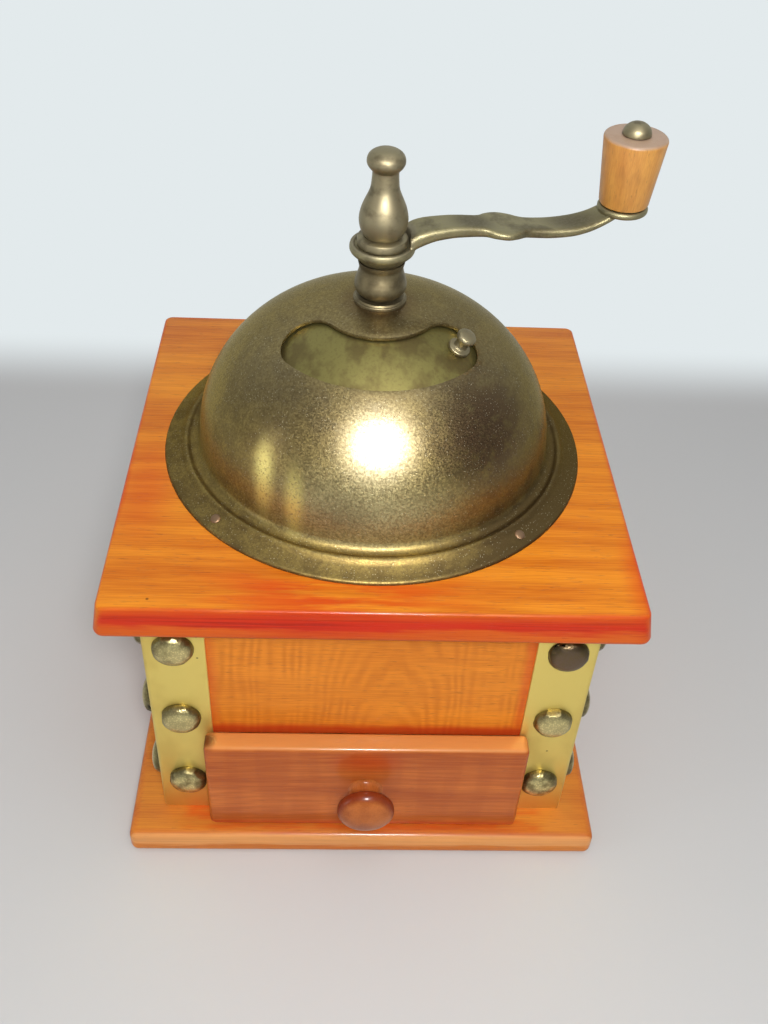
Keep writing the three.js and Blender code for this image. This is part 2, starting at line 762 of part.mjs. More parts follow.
function bridge_section() {
  const [a, b, c] = [leg_inner, leg_outer, foot_end];
  const [floor, foot] = [housing_top, housing_top + bridge_strap];
  const [under, over] = [bridge_top - bridge_strap, bridge_top];
  return polygon([[-c, floor], [-a, floor], [-a, under], [a, under], [a, floor], [c, floor], [c, foot],
    [b, foot], [b, over], [-b, over], [-b, foot], [-c, foot]]);
}

// The upper bridge's arch and bearing tube, with its two screws
function add_upper_bridge() {
  const arch = plate(bridge_section(), bridge_width).rotateX(Math.PI / 2).translate(0, bridge_width / 2, 0);
  const under = bridge_top - bridge_strap;
  const tube = rod(bridge_tube_radius, under, bridge_tube_top, small_sides);
  const bore = rod(spindle_radius + fit_gap, under - cut_overrun, bridge_tube_top + cut_overrun);
  const foot = housing_top + bridge_strap;
  const screws = [-1, 1].flatMap((side) => [
    rod(screw_head_radius, foot, foot + screw_head_height, hole_sides),
    rod(screw_radius, foot - screw_length, foot, hole_sides),
  ].map((piece) => piece.translate(side * bridge_screw_x, 0, 0)));
  add('upper_bridge', cut(join(arch, tube, ...screws), bore), cast_iron);
}

function strap_screw_holes() {
  return [-1, 1].map((side) => rod(strap_screw_radius + fit_gap, housing_bottom - cut_overrun,
    housing_bottom + strap_screw_length + fit_gap, hole_sides).translate(side * strap_screw_x, 0, 0));
}

// The lower bridge's strap and threaded boss, with its two screws
function add_lower_bridge() {
  const [top, under] = [housing_bottom, housing_bottom - lower_strap];
  const strap = box([-housing_radius, -bridge_width / 2, under], [housing_radius, bridge_width / 2, top]);
  const bore_radius = adjuster_radius + fit_gap;
  const boss_bottom = top - lower_boss_depth;
  const boss = rod(bore_radius + lower_boss_wall, boss_bottom, top, small_sides);
  const bore = rod(bore_radius, boss_bottom - cut_overrun, top + cut_overrun);
  const screws = [-1, 1].flatMap((side) => [
    rod(strap_screw_head_radius, under - strap_screw_head_height, under, hole_sides),
    rod(strap_screw_radius, under, top + strap_screw_length, hole_sides),
  ].map((piece) => piece.translate(side * strap_screw_x, 0, 0)));
  add('lower_bridge', cut(join(strap, boss, ...screws), bore), cast_iron);
}

function add_adjuster() {
  const neck = housing_bottom - lower_boss_depth - adjuster_free_length;
  add('adjusting_screw', turned([
    [0, neck - adjuster_head_height], [adjuster_head_radius, neck - adjuster_head_height],
    [adjuster_head_radius, neck], [adjuster_radius, neck],
    [adjuster_radius, housing_bottom], [0, housing_bottom],
  ], small_sides), steel);
}

// Spindle and crank

function add_spindle() {
  const [r, collar] = [spindle_radius, spindle_radius + spindle_collar_step];
  const collar_top = collar_level + spindle_collar_height;
  const end = finial_bottom + finial_bore_depth - fit_gap;
  add('spindle', turned([
    [0, spindle_foot], [r, spindle_foot], [r, collar_level], [collar, collar_level], [collar, collar_top],
    [r, collar_top], [r, recess_level], [spindle_end_radius, recess_level],
    [spindle_end_radius, end], [0, end],
  ]), steel, crank);
}

function add_crank_sleeve() {
  const points = outline(sleeve_shares, sleeve_radius, sleeve_bottom, sleeve_height);
  add('crank_sleeve', sleeve(points, spindle_radius + fit_gap), turned_bronze, crank);
}

// One section of the arm, square to its length, with its two upper edges chamfered
function arm_section([along, up, wide, thick]) {
  const root = recess_radius - arm_root_sink;
  const x = root + along * (crank_radius - root);
  const [top, side] = [hub_top + up * arm_rise, wide * arm_width / 2];
  const bottom = top - thick * arm_thickness;
  const chamfer = arm_chamfer_share * (top - bottom);
  return [[x, -side, bottom], [x, side, bottom], [x, side, top - chamfer], [x, side - chamfer, top],
    [x, chamfer - side, top], [x, -side, top - chamfer]];
}

function add_crank_arm() {
  const rim = outline(hub_shares, hub_radius, hub_bottom, hub_height);
  const hub = turned([[0, hub_bottom], ...rim, [recess_radius, hub_top], [recess_radius, recess_level],
    [0, recess_level]]);
  const arm = loft(arm_shares.map(arm_section), false);
  const disc = rod(handle_bottom_radius + end_disc_margin, disc_bottom, disc_top);
  const bore = rod(spindle_radius + fit_gap, hub_bottom - cut_overrun, hub_top + cut_overrun);
  const recess = rod(recess_radius, recess_level, hub_top + arm_rise);
  const pin_hole = rod(pin_radius + fit_gap, disc_bottom - cut_overrun, disc_top + cut_overrun, small_sides);
  const whole = join(hub, cut(arm, recess), disc.translate(crank_radius, 0, 0));
  add('crank_arm', cut(whole, bore, pin_hole.translate(crank_radius, 0, 0)), cast_brass, crank);
}

function add_finial() {
  const bore = spindle_end_radius + fit_gap;
  const bore_top = finial_bottom + finial_bore_depth;
  add('finial_nut', turned([
    [0, bore_top], [bore, bore_top], [bore, finial_bottom],
    ...outline(finial_foot_shares, finial_foot_radius, finial_bottom, finial_height),
    ...outline(finial_body_shares, finial_radius, finial_bottom, finial_height),
  ]), turned_bronze, crank);
}

function add_handle() {
  const [low, high, round] = [handle_bottom_radius, handle_top_radius, handle_edge_round];
  const points = [[low - round, handle_bottom], [low, handle_bottom + round], [high, handle_top - round],
    [high - round, handle_top]];
  const handle = add('crank_handle', sleeve(points, pin_radius + fit_gap), handle_wood, crank);
  handle.position.x = crank_radius;
}

function add_handle_pin() {
  const foot_top = disc_bottom - seat_gap;
  const foot_bottom = foot_top - pin_foot_height;
  const cap_bottom = handle_top + fit_gap;
  const pin = add('handle_pin', turned([
    [0, foot_bottom], [pin_foot_radius, foot_bottom], [pin_foot_radius, foot_top], [pin_radius, foot_top],
    [pin_radius, cap_bottom], ...outline(cap_shares, pin_cap_radius, cap_bottom, pin_cap_height),
  ], small_sides), cast_brass, crank);
  pin.position.x = crank_radius;
}

add_boards();
add_case();
add_strips();
add_studs();
add_drawer();
add_dome();
add_nails();
add_bush();
add_door();
add_housing();
add_outer_burr();
add_upper_bridge();
add_lower_bridge();
add_adjuster();
add_spindle();
add_inner_burr();
add_crank_sleeve();
add_crank_arm();
add_finial();
add_handle();
add_handle_pin();

export default grinder;
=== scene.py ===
"""Manual coffee grinder: a wooden box with brass corner strips, a spun brass dome and a cast crank."""
import math
import random

import bpy
from bpy.props import FloatProperty, FloatVectorProperty, PointerProperty
from mathutils import Matrix, Vector


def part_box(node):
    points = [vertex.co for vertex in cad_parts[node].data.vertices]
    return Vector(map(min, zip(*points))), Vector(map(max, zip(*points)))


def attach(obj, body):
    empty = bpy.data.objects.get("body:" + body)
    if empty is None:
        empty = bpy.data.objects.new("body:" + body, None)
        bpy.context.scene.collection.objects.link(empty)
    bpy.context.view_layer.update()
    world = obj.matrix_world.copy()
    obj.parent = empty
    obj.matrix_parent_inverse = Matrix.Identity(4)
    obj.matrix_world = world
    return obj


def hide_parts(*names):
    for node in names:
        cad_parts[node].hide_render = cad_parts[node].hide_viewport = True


bl_info = {
    "name": "Coffee Grinder",
    "version": (1, 0, 0),
    "blender": (4, 5, 0),
    "location": "View3D > Sidebar > Grinder",
    "description": "Dresses the coffee grinder's frame with its turned, spun and cast pieces",
    "category": "Object",
}

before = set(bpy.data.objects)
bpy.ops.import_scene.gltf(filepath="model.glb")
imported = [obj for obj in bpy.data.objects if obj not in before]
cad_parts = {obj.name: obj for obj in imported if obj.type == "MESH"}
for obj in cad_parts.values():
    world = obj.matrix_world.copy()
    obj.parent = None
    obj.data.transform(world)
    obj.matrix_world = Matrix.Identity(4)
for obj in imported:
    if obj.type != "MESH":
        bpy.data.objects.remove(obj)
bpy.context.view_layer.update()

MM = 0.001
WELD = 0.000004
TURN_STEPS = 72
DOME_STEPS = 144

# The grinder's front as an angle round the spindle, seen from above
FRONT = -math.pi / 2

# Sizes that several pieces share, in millimetres: the dome's curve, two bores by their radius, and
# how far a nail reaches below its head
DOME_LEVEL = 124.8
DOME_REACH = 55.9
DOME_RISE = 47.4
SHAFT_BORE = 3.8
PIN_BORE = 2.3
NAIL_POINT = 7


def low(node):
    """A node's lowest corner, in millimetres."""
    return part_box(node)[0] / MM


def high(node):
    """A node's highest corner, in millimetres."""
    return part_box(node)[1] / MM


def middle(node):
    return (low(node) + high(node)) / 2


def paint(code):
    """Turn a written colour, such as d2751f, into the numbers a shader works with."""
    parts = [int(code[i:i + 2], 16) / 255 for i in (0, 2, 4)]
    return [p / 12.92 if p <= 0.04045 else ((p + 0.055) / 1.055) ** 2.4 for p in parts] + [1]


def darker(base, share):
    return [part * share for part in base[:3]] + [1]


def colour(code, name, description):
    return FloatVectorProperty(name=name, description=description, default=paint(code), size=4, min=0,
                               max=1, subtype="COLOR")


def length(value, name, description):
    return FloatProperty(name=name, description=description, default=value * MM, min=0, unit="LENGTH")


def power(value, name, description):
    return FloatProperty(name=name, description=description, default=value, min=0, unit="POWER")


def strength(value, name, description):
    return FloatProperty(name=name, description=description, default=value, min=0)


# Tones of single marks and stains, and of painted highlights, reflections and shade
BOARD_BROWN = paint("a87a50")
BRUSH_RED = paint("6e1208")
SPECK_BROWN = paint("3a1606")
DRAWER_TOP = paint("dc9450")
KNOT_BROWN = paint("4a1808")
GRIT_BROWN = paint("5b3c22")
KNOB_RIM = paint("6e1a0c")
HANDLE_GRAIN = paint("bb7630")
HANDLE_GRIME = paint("8a5426")
STRIP_FOOT = paint("e09a40")
STRIP_SPECK = paint("5c4620")
# Painted shade round a stud's rim
STUD_RIM_SHADE = paint("40361e")
# Painted highlight of the flash on the dome: its pale halo and its paler core
DOME_PAINTED_SHEEN = paint("b8ae84")
DOME_PAINTED_GLARE = paint("e6e2ce")
# Painted reflection of the pale room on the dome's crown
DOME_CROWN_REFLECTION = paint("8e866c")
# Painted reflection of the window on the dome
DOME_STREAK_REFLECTION = paint("dccb78")
DOME_GLOSS = paint("dacca0")
TURNED_DUST = paint("8c8272")
CAST_DUST = paint("857c68")


class GrinderWoods(bpy.types.PropertyGroup):
    """Colours of the wooden pieces"""

    board: colour("ec9526", "Board", "Varnished wood of the top and base boards")
    board_deep: colour("bf5e10", "Board grain", "Darker grain of the boards")
    stain: colour("c42815", "Red stain", "Red varnish that gathered along the edges")
    flush: colour("cc3c08", "Red flush", "Orange red varnish on the flat of the boards")
    # Painted highlight: pale colour laid high on the base board's front
    base_front_highlight: colour("eeb270", "Base edge", "Paler wood of the base board's front edge")
    panel: colour("ef932e", "Panel", "Wood of the case above the drawer")
    panel_deep: colour("bd6216", "Panel grain", "Darker grain of the case")
    drawer: colour("d67834", "Drawer", "Wood of the drawer's front")
    drawer_deep: colour("a04a1c", "Drawer grain", "Darker grain of the drawer's front")
    knob: colour("be6c32", "Drawer knob", "Turned wood of the drawer's knob")
    knob_deep: colour("8c441a", "Knob grain", "Darker grain of the drawer's knob")
    bare: colour("b98a55", "Bare wood", "Unvarnished wood inside the case")
    bare_deep: colour("8c6236", "Bare wood grain", "Darker grain of the wood inside the case")
    handle: colour("dda04a", "Handle", "Turned wood of the crank's handle")
    handle_worn: colour("a68f7c", "Handle top", "Grey wear on the handle's top")


class GrinderMetals(bpy.types.PropertyGroup):
    """Colours of the metal pieces"""

    strip: colour("e2cb70", "Strip brass", "Bright brass of the corner strips")
    strip_dull: colour("c2a24e", "Strip tarnish", "Tarnish on the corner strips")
    stud: colour("e4d698", "Stud brass", "Pebbled brass of the studs")
    stud_dark: colour("6c5c38", "Stud tarnish", "Tarnish of the studs")
    stud_brown: colour("6e5c4e", "Brown stud", "Brown brass of the darkest stud")
    dome: colour("9a854a", "Dome brass", "Tarnished brass of the dome")
    dome_dark: colour("57472c", "Dome tarnish", "Dark tarnish of the dome")
    dome_brown: colour("5c4733", "Dome stain", "Brown stains of the dome")
    dust: colour("e0d8b4", "Dust", "Pale specks that cling to the dome")
    door: colour("827946", "Door brass", "Smoother brass of the hopper door")
    bronze: colour("8c8266", "Turned bronze", "Bronze of the nut, the pin and the knob")
    sleeve: colour("766b50", "Sleeve bronze", "Darker bronze of the sleeve and the bush")
    bronze_dark: colour("463c2c", "Bronze tarnish", "Dark tarnish in the turned grooves")
    cast: colour("8c8462", "Cast brass", "Cast brass of the crank arm")
    cast_dark: colour("463d2b", "Cast stain", "Dark stains of the crank arm")
    nail: colour("80664e", "Nail copper", "Dull copper of the dome's nails")
    iron: colour("4a4a4c", "Cast iron", "Iron of the mill inside")
    steel: colour("8c8f94", "Steel", "Steel of the spindle and the adjusting screw")


class GrinderSizes(bpy.types.PropertyGroup):
    """Small sizes of the made pieces"""

    board_round: length(2.7, "Board edge", "Rounding of the top board's lower edges")
    board_arris: length(1.1, "Board arris", "Rounding of the top board's upper edges")
    board_lean: length(1.2, "Board lean", "How far the top board's edge leans in from foot to top")
    base_round: length(2.6, "Base edge", "Rounding of the base board's edges")
    drawer_round: length(1.5, "Drawer edge", "Rounding of the drawer front's edges")
    sheet: length(1.0, "Sheet", "Thickness of the dome's brass")
    strip_bend: length(1.5, "Strip bend", "Outer radius of the corner strips' bend")
    cut_edge: length(0.22, "Cut edge", "Bevel of the edges cut in sheet brass")
    cast_grain: length(0.27, "Cast grain", "Size of the grid that melts the crank arm into one casting")


class GrinderStage(bpy.types.PropertyGroup):
    """Floor, lamps and camera"""

    floor: colour("c9c8c5", "Floor", "Plain pale floor")
    backdrop: colour("e3eaec", "Backdrop", "White that the floor fades to far from the grinder")
    sky: colour("c9ccd2", "Room", "Pale room round the grinder")
    room_light: strength(0.6, "Room light", "Strength of the room's light")
    gloss_light: strength(0.33, "Gloss light", "Strength of the room in front as gloss shows it")
    flash_power: power(1.9, "Flash", "Power of the lamp beside the camera")
    glint_power: power(3.6, "Glint", "Power of the lamp that only gloss shows")
    window_power: power(1.2, "Window", "Power of the lamp on the left")
    ceiling_power: power(3.2, "Ceiling", "Power of the wide lamp above")
    lens: FloatProperty(name="Lens", description="Focal length of the camera", default=37.985, min=1,
                        unit="CAMERA")


def woods():
    return bpy.context.scene.grinder_woods


def metals():
    return bpy.context.scene.grinder_metals


def sizes():
    return bpy.context.scene.grinder_sizes


# Shader writing


def each_axis(size):
    """Three numbers as they are, or one number three times."""
    return size if isinstance(size, (tuple, list)) else (size, size, size)


class Amount:
    """A shader socket that Python's arithmetic works on."""

    def __init__(self, finish, socket):
        self.finish = finish
        self.socket = socket

    def work(self, operation, *values):
        return self.finish.node("ShaderNodeMath", {"operation": operation}, dict(enumerate(values)))

    def __add__(self, other):
        return self.work("ADD", self, other)

    __radd__ = __add__

    def __sub__(self, other):
        return self.work("SUBTRACT", self, other)

    def __rsub__(self, other):
        return self.work("SUBTRACT", other, self)

    def __mul__(self, other):
        return self.work("MULTIPLY", self, other)

    def __abs__(self):
        return self.work("ABSOLUTE", self)

    def larger(self, other):
        return self.work("MAXIMUM", self, other)

    def clamped(self):
        return self.work("MINIMUM", self.larger(0), 1)


class Finish:
    """A procedural finish in the making, of a material or of the room."""

    def __init__(self, name, base=None, room=None):
        self.shade = base
        self.owner = room or bpy.data.materials.new(name)
        self.owner.use_nodes = True
        self.tree = self.owner.node_tree
        self.tree.nodes.clear()

    def node(self, kind, settings=None, inputs=None, out=0):
        """Add a node: its settings first, then the values or links of its sockets."""
        made = self.tree.nodes.new(kind)
        for field, value in (settings or {}).items():
            setattr(made, field, value)
        for key, value in (inputs or {}).items():
            if isinstance(value, Amount):
                self.tree.links.new(value.socket, made.inputs[key])
            else:
                made.inputs[key].default_value = value
        return Amount(self, made.outputs[out]) if made.outputs else None

    def lay(self, share, tint):
        """Lay a colour over the shade so far, as thickly as share says."""
        self.shade = self.node("ShaderNodeMix", {"data_type": "RGBA", "clamp_result": True},
                               {0: share, 6: self.shade, 7: tint}, 2)

    def place(self, scale, move=(0, 0, 0), turn=(0, 0, 0)):
        coordinates = self.node("ShaderNodeTexCoord", out="Object")
        return self.node("ShaderNodeMapping", {"vector_type": "POINT"},
                         {"Vector": coordinates, "Location": move, "Rotation": turn, "Scale": scale})

    def noise(self, size, seed, detail=2, rough=0.5, turn=(0, 0, 0)):
        """Soft patches about size millimetres long, as one number or one for each axis."""
        scale = [1 / (s * MM) for s in each_axis(size)]
        place = self.place(scale, (seed * 3.7, seed * 1.9, seed * 5.3), turn)
        return self.node("ShaderNodeTexNoise", {"noise_dimensions": "3D"},
                         {"Vector": place, "Scale": 1, "Detail": detail, "Roughness": rough})

    def patches(self, start, end, size, seed, detail=2, rough=0.5):
        """Noise with clearer edges: nothing below start and one above end."""
        return self.step(self.noise(size, seed, detail, rough), start, end)

    def cells(self, size, seed):
        """Distance from the nearest of a scatter of points about size millimetres apart."""
        place = self.place([1 / (size * MM)] * 3, (seed * 2.3, seed * 4.1, seed * 1.7))
        return self.node("ShaderNodeTexVoronoi", {"voronoi_dimensions": "3D", "feature": "F1"},
                         {"Vector": place, "Scale": 1}, "Distance")

    def rings(self, centre, gap, bend):
        """Wavering lines that curve round a centre, gap millimetres apart along each axis."""
        scale = [math.tau / 20 / (g * MM) for g in gap]
        place = self.place(scale, [-c * MM * s for c, s in zip(centre, scale)])
        return self.node("ShaderNodeTexWave", {"wave_type": "RINGS", "rings_direction": "SPHERICAL"},
                         {"Vector": place, "Scale": 1, "Distortion": bend, "Detail": 2,
                          "Detail Scale": 0.7}, "Fac")

    def step(self, value, start, end):
        """Ease from nothing to one while value goes from start to end."""
        return self.node("ShaderNodeMapRange", {"interpolation_type": "SMOOTHSTEP"},
                         {"Value": value, "From Min": start, "From Max": end})

    def away(self, scale, move):
        """Distance from a centre, measured by a scale along each axis."""
        return self.node("ShaderNodeVectorMath", {"operation": "LENGTH"}, {0: self.place(scale, move)},
                         "Value")

    def spot(self, centre, reach, soft):
        """One round a centre, fading out between a soft share of its reach and the whole, in millimetres."""
        reach = each_axis(reach)
        distance = self.away([1 / (r * MM) for r in reach], [-c / r for c, r in zip(centre, reach)])
        return self.step(distance, 1, soft)

    def radius(self):
        """How far a point is from the spindle's axis, in millimetres."""
        return self.away((1 / MM, 1 / MM, 0), (0, 0, 0))

    def along(self, axis):
        """The height or place along one axis, in millimetres."""
        return self.node("ShaderNodeSeparateXYZ", None, {0: self.place([1 / MM] * 3)}, axis)

    def ray(self, kind):
        """One where the finish is seen by rays of a kind, Camera or Glossy."""
        return self.node("ShaderNodeLightPath", out=f"Is {kind} Ray")

    def bump(self, height, depth):
        """Raise the surface by up to depth millimetres where height is one."""
        return self.node("ShaderNodeBump", None, {"Strength": 1.0, "Distance": depth * MM, "Height": height})

    def shader(self, **inputs):
        """The surface's shader in the finish's shade, with other sockets by their names."""
        named = {key.replace("_", " ").title().replace("Ior", "IOR"): value for key, value in inputs.items()}
        return self.node("ShaderNodeBsdfPrincipled", None, {"Base Color": self.shade, **named})

    def blend(self, share, one, other):
        return self.node("ShaderNodeMixShader", None, {0: share, 1: one, 2: other})

    def close(self, shader, kind="ShaderNodeOutputMaterial"):
        self.node(kind, None, {"Surface": shader})
        return self.owner

    def done(self, **inputs):
        """Close the finish with its shader and give the material."""
        return self.close(self.shader(**inputs))

    def varnished(self, rough, height, coat=0.12):
        """Close a wood's finish with a thin coat of varnish."""
        return self.done(roughness=rough, specular_ior_level=0.1, coat_weight=coat, coat_roughness=0.12,
                         normal=self.bump(height, 0.05))

    def metal(self, rough, height, depth, metallic=1.0):
        return self.done(roughness=rough, metallic=metallic, normal=self.bump(height, depth))


# Wood finishes


def grained(grain, along, across):
    """Sizes for a noise that runs with the grain on axis 0, 1 or 2."""
    return [along if axis == grain else across for axis in range(3)]


def planed(finish, grain, deep, seed, flame=0, streak=0.42):
    """Draw the grain of planed wood along an axis, and give the height of its fibres and pores."""
    tone = finish.patches(0.3, 0.7, grained(grain, 120, 24), seed)
    bands = finish.patches(0.32, 0.68, grained(grain, 85, 5.5), seed + 1, 2, 0.55)
    fibres = finish.noise(grained(grain, 15, 0.42), seed + 2, 2, 0.6)
    pores = finish.patches(0.64, 0.74, grained(grain, 4.2, 0.3), seed + 3, 1)
    finish.lay(bands * streak + finish.step(fibres, 0.35, 0.65) * 0.3 + tone * 0.28, deep)
    if flame:
        finish.lay(finish.patches(0.38, 0.62, grained(grain, 6.2, 46), seed + 4, 1) * flame, deep)
    finish.lay(pores * 0.4, darker(deep, 0.4))
    return fibres * 0.6 - pores * 0.8


def board_finish(name, start, end, seed, red, edge):
    """Varnished board, with stain gathered on its edges and another colour high on its front: red stain on
    the top board, a painted highlight on the base board.
    """
    tint = woods()
    finish = Finish(name, tint.board)
    height = planed(finish, 0, tint.board_deep, seed)
    drift = finish.noise(30, seed + 5, 3)
    wisp = finish.noise((30, 4, 2.5), seed + 8, 3, 0.6)
    side = abs(finish.along("X")) - end.x
    front = start.y - finish.along("Y")
    back = finish.along("Y") - end.y
    span = end.z - start.z
    band = finish.step(finish.along("Z") + wisp * 6, end.z - span * 0.62 + 3, end.z - span * 0.45 + 3)
    face = finish.step(front, -1.5, -0.7) * band
    rim = finish.step(side.larger(back).larger(front) + drift * 3, -1.4, 0.5)
    middle_flush = finish.spot((-12, start.y + 8, end.z), (56, 17, 30), 0.1) * finish.step(wisp, 0.34, 0.6)
    left_flush = finish.spot((start.x + 8, -26, end.z), (14, 34, 30), 0.1) * 0.5
    right_flush = finish.spot((end.x - 1, start.y + 16, end.z), (8, 30, 30), 0.1) * 0.7
    flush = middle_flush.larger(left_flush).larger(right_flush) * red
    finish.lay((1 - red) * 0.3, BOARD_BROWN)
    finish.lay(flush * 0.85, tint.flush)
    finish.lay(rim * 0.6 * red, tint.stain)
    # High on the front: real red stain on the top board, a painted pale highlight on the base board
    finish.lay(face * 0.9 * (red * 0.5 + 0.5), edge)
    brush = finish.patches(0.45, 0.7, (46, 1.4, 0.7), seed + 9, 3, 0.6) * face
    finish.lay(brush * 0.45 * red, BRUSH_RED)
    speck = finish.spot((-63.2, -73.9, 118.6), (0.6, 0.6, 2), 0.3)
    finish.lay(speck * 0.8, SPECK_BROWN)
    under = finish.step(finish.along("Y") - wisp * 3, -80, -77) * finish.step(side + wisp * 8, -12, -17)
    finish.lay(under * finish.step(wisp, 0.3, 0.6) * (1 - red) * 0.75, tint.flush)
    return finish.varnished(0.25 + finish.noise(14, seed + 7, 3) * 0.16, height)


def panel_finish():
    """Curly wood of the case, darker along the drawer and the strips."""
    tint = woods()
    finish = Finish("case_wood_curly", tint.panel)
    height = planed(finish, 0, tint.panel_deep, 11, streak=0.12)
    curl = finish.rings((8, -69, 28), (2.8, 60, 13), 11) * finish.patches(0.3, 0.65, (16, 16, 10), 16, 3)
    finish.lay(curl * 0.42, tint.panel_deep)
    foot = finish.step(finish.along("Z") + finish.noise(8, 12) * 2, 57, 53.2)
    across = finish.along("X") + finish.noise((4, 4, 9), 13) * 3
    left = finish.step(across, -44, -49)
    right = finish.step(across, 47, 50)
    finish.lay(foot.larger(left * 0.6).larger(right * 0.6) * 0.75, tint.stain)
    return finish.varnished(0.3 + finish.noise(20, 14) * 0.15, height)


def wall_finish(name, grain, seed):
    """Varnished wood of the case's plain sides."""
    finish = Finish(name, woods().panel)
    height = planed(finish, grain, woods().panel_deep, seed, 0.2)
    return finish.varnished(0.32 + finish.noise(20, seed + 5) * 0.15, height)


def drawer_finish():
    """Redder varnish of the drawer's front, with a knot, some figure and a painted reflection of the knob
    above it.
    """
    tint = woods()
    finish = Finish("drawer_wood_varnished", tint.drawer)
    height = planed(finish, 0, tint.drawer_deep, 31, 0.25)
    curl = finish.rings((30, -77, 2), (12, 60, 2.4), 9) * finish.patches(0.3, 0.6, 22, 36)
    finish.lay(curl * 0.35, tint.drawer_deep)
    finish.lay(finish.step(finish.along("Z"), 51.4, 52.3) * 0.8, DRAWER_TOP)
    knot = finish.spot((-50.6, -71.6, 51.8), (3.2, 4.6, 3), 0.3)
    finish.lay(knot * 0.85, KNOT_BROWN)
    # Painted reflection of the knob in the varnish, a redder patch above it; the red at the foot is stain
    knob_reflection = finish.spot((0, -75, 46), (16, 8, 8), 0.1) * 0.35
    foot = finish.step(finish.along("Z"), 14.2, 10.8) * 0.6
    finish.lay(knob_reflection.larger(foot), tint.stain)
    return finish.varnished(0.26 + finish.noise(16, 35, 3) * 0.16, height, 0.25)


def bare_finish(name, grain, seed):
    """Plain sawn wood inside the case."""
    finish = Finish(name, woods().bare)
    height = planed(finish, grain, woods().bare_deep, seed)
    grit = finish.noise(1.2, seed + 5, 3)
    finish.lay(finish.step(grit, 0.45, 0.75) * 0.35, GRIT_BROWN)
    return finish.done(roughness=0.6 + grit * 0.2, normal=finish.bump(height, 0.08))


def knob_finish():
    """Turned wood of the drawer's knob, darker towards its rim."""
    finish = Finish("drawer_knob_wood", woods().knob)
    height = planed(finish, 1, woods().knob_deep, 41)
    off_axis = finish.away((1 / MM, 0, 1 / MM), (0, 0, -middle("drawer_knob").z))
    finish.lay(finish.step(off_axis, 7.4, 9.2) * 0.75, KNOB_RIM)
    rings = finish.noise((60, 0.5, 60), 42, 1)
    return finish.varnished(0.24 + rings * 0.14, height + rings, 0.3)


def handle_finish():
    """Turned wood of the crank's handle, worn grey on its top."""
    finish = Finish("handle_wood_turned", woods().handle)
    top = high("crank_handle").z
    height = planed(finish, 2, HANDLE_GRAIN, 51)
    worn = finish.step(finish.along("Z") + finish.noise(5, 52, 3) * 0.5, top - 0.7, top + 0.1)
    finish.lay(worn * 0.85, woods().handle_worn)
    finish.lay(finish.patches(0.5, 0.75, (6, 6, 14), 53, 3) * 0.35, HANDLE_GRIME)
    marks = finish.noise((60, 60, 0.35), 54)
    return finish.done(roughness=0.42 + marks * 0.15, coat_weight=0.12, coat_roughness=0.3,
                       normal=finish.bump(height + marks * 0.8, 0.05))


# Metal finishes


def strip_finish():
    """Satin brass sheet, warmer near the base."""
    finish = Finish("strip_brass_satin", metals().strip)
    cloud = finish.noise((16, 16, 22), 61, 3)
    scratch = finish.noise((0.5, 0.5, 26), 62)
    finish.lay(finish.step(cloud, 0.5, 0.72) * 0.35, metals().strip_dull)
    finish.lay(finish.step(finish.along("Z"), 27, 11) * 0.4, STRIP_FOOT)
    for place in ((-52, -67.7, 96.4), (-52.3, -67.7, 87.1), (59.7, -67.7, 43.2)):
        finish.lay(finish.spot(place, (0.5, 2, 0.5), 0.3) * 0.8, STRIP_SPECK)
    rough = 0.34 + cloud * 0.12 + scratch * 0.06
    return finish.metal(rough, cloud * 0.7 + scratch * 0.3, 0.06, 0.75)


def stud_finish(name, seed, base, light):
    """Brass with a fine pebbled skin, and painted shade darkening the head towards its rim."""
    finish = Finish(name, base)
    cloud = finish.noise(3.4, seed, 3)
    pebble = finish.cells(0.62, seed + 1)
    # Tarnish in clouds, thinned by light so that a stud is painted as more brightly lit
    finish.lay(finish.step(cloud, 0.4, 0.65) * (0.75 - light), metals().stud_dark)
    finish.lay(finish.step(pebble, 0.2, 0.55) * 0.35, metals().stud_dark)
    # Painted shade: the head darkens towards its rim
    rim = finish.node("ShaderNodeAttribute", {"attribute_name": "rim"}, out="Fac")
    finish.lay(rim * 0.75, STUD_RIM_SHADE)
    return finish.metal(0.26 + cloud * 0.14, 1 - pebble, 0.05, 0.95)


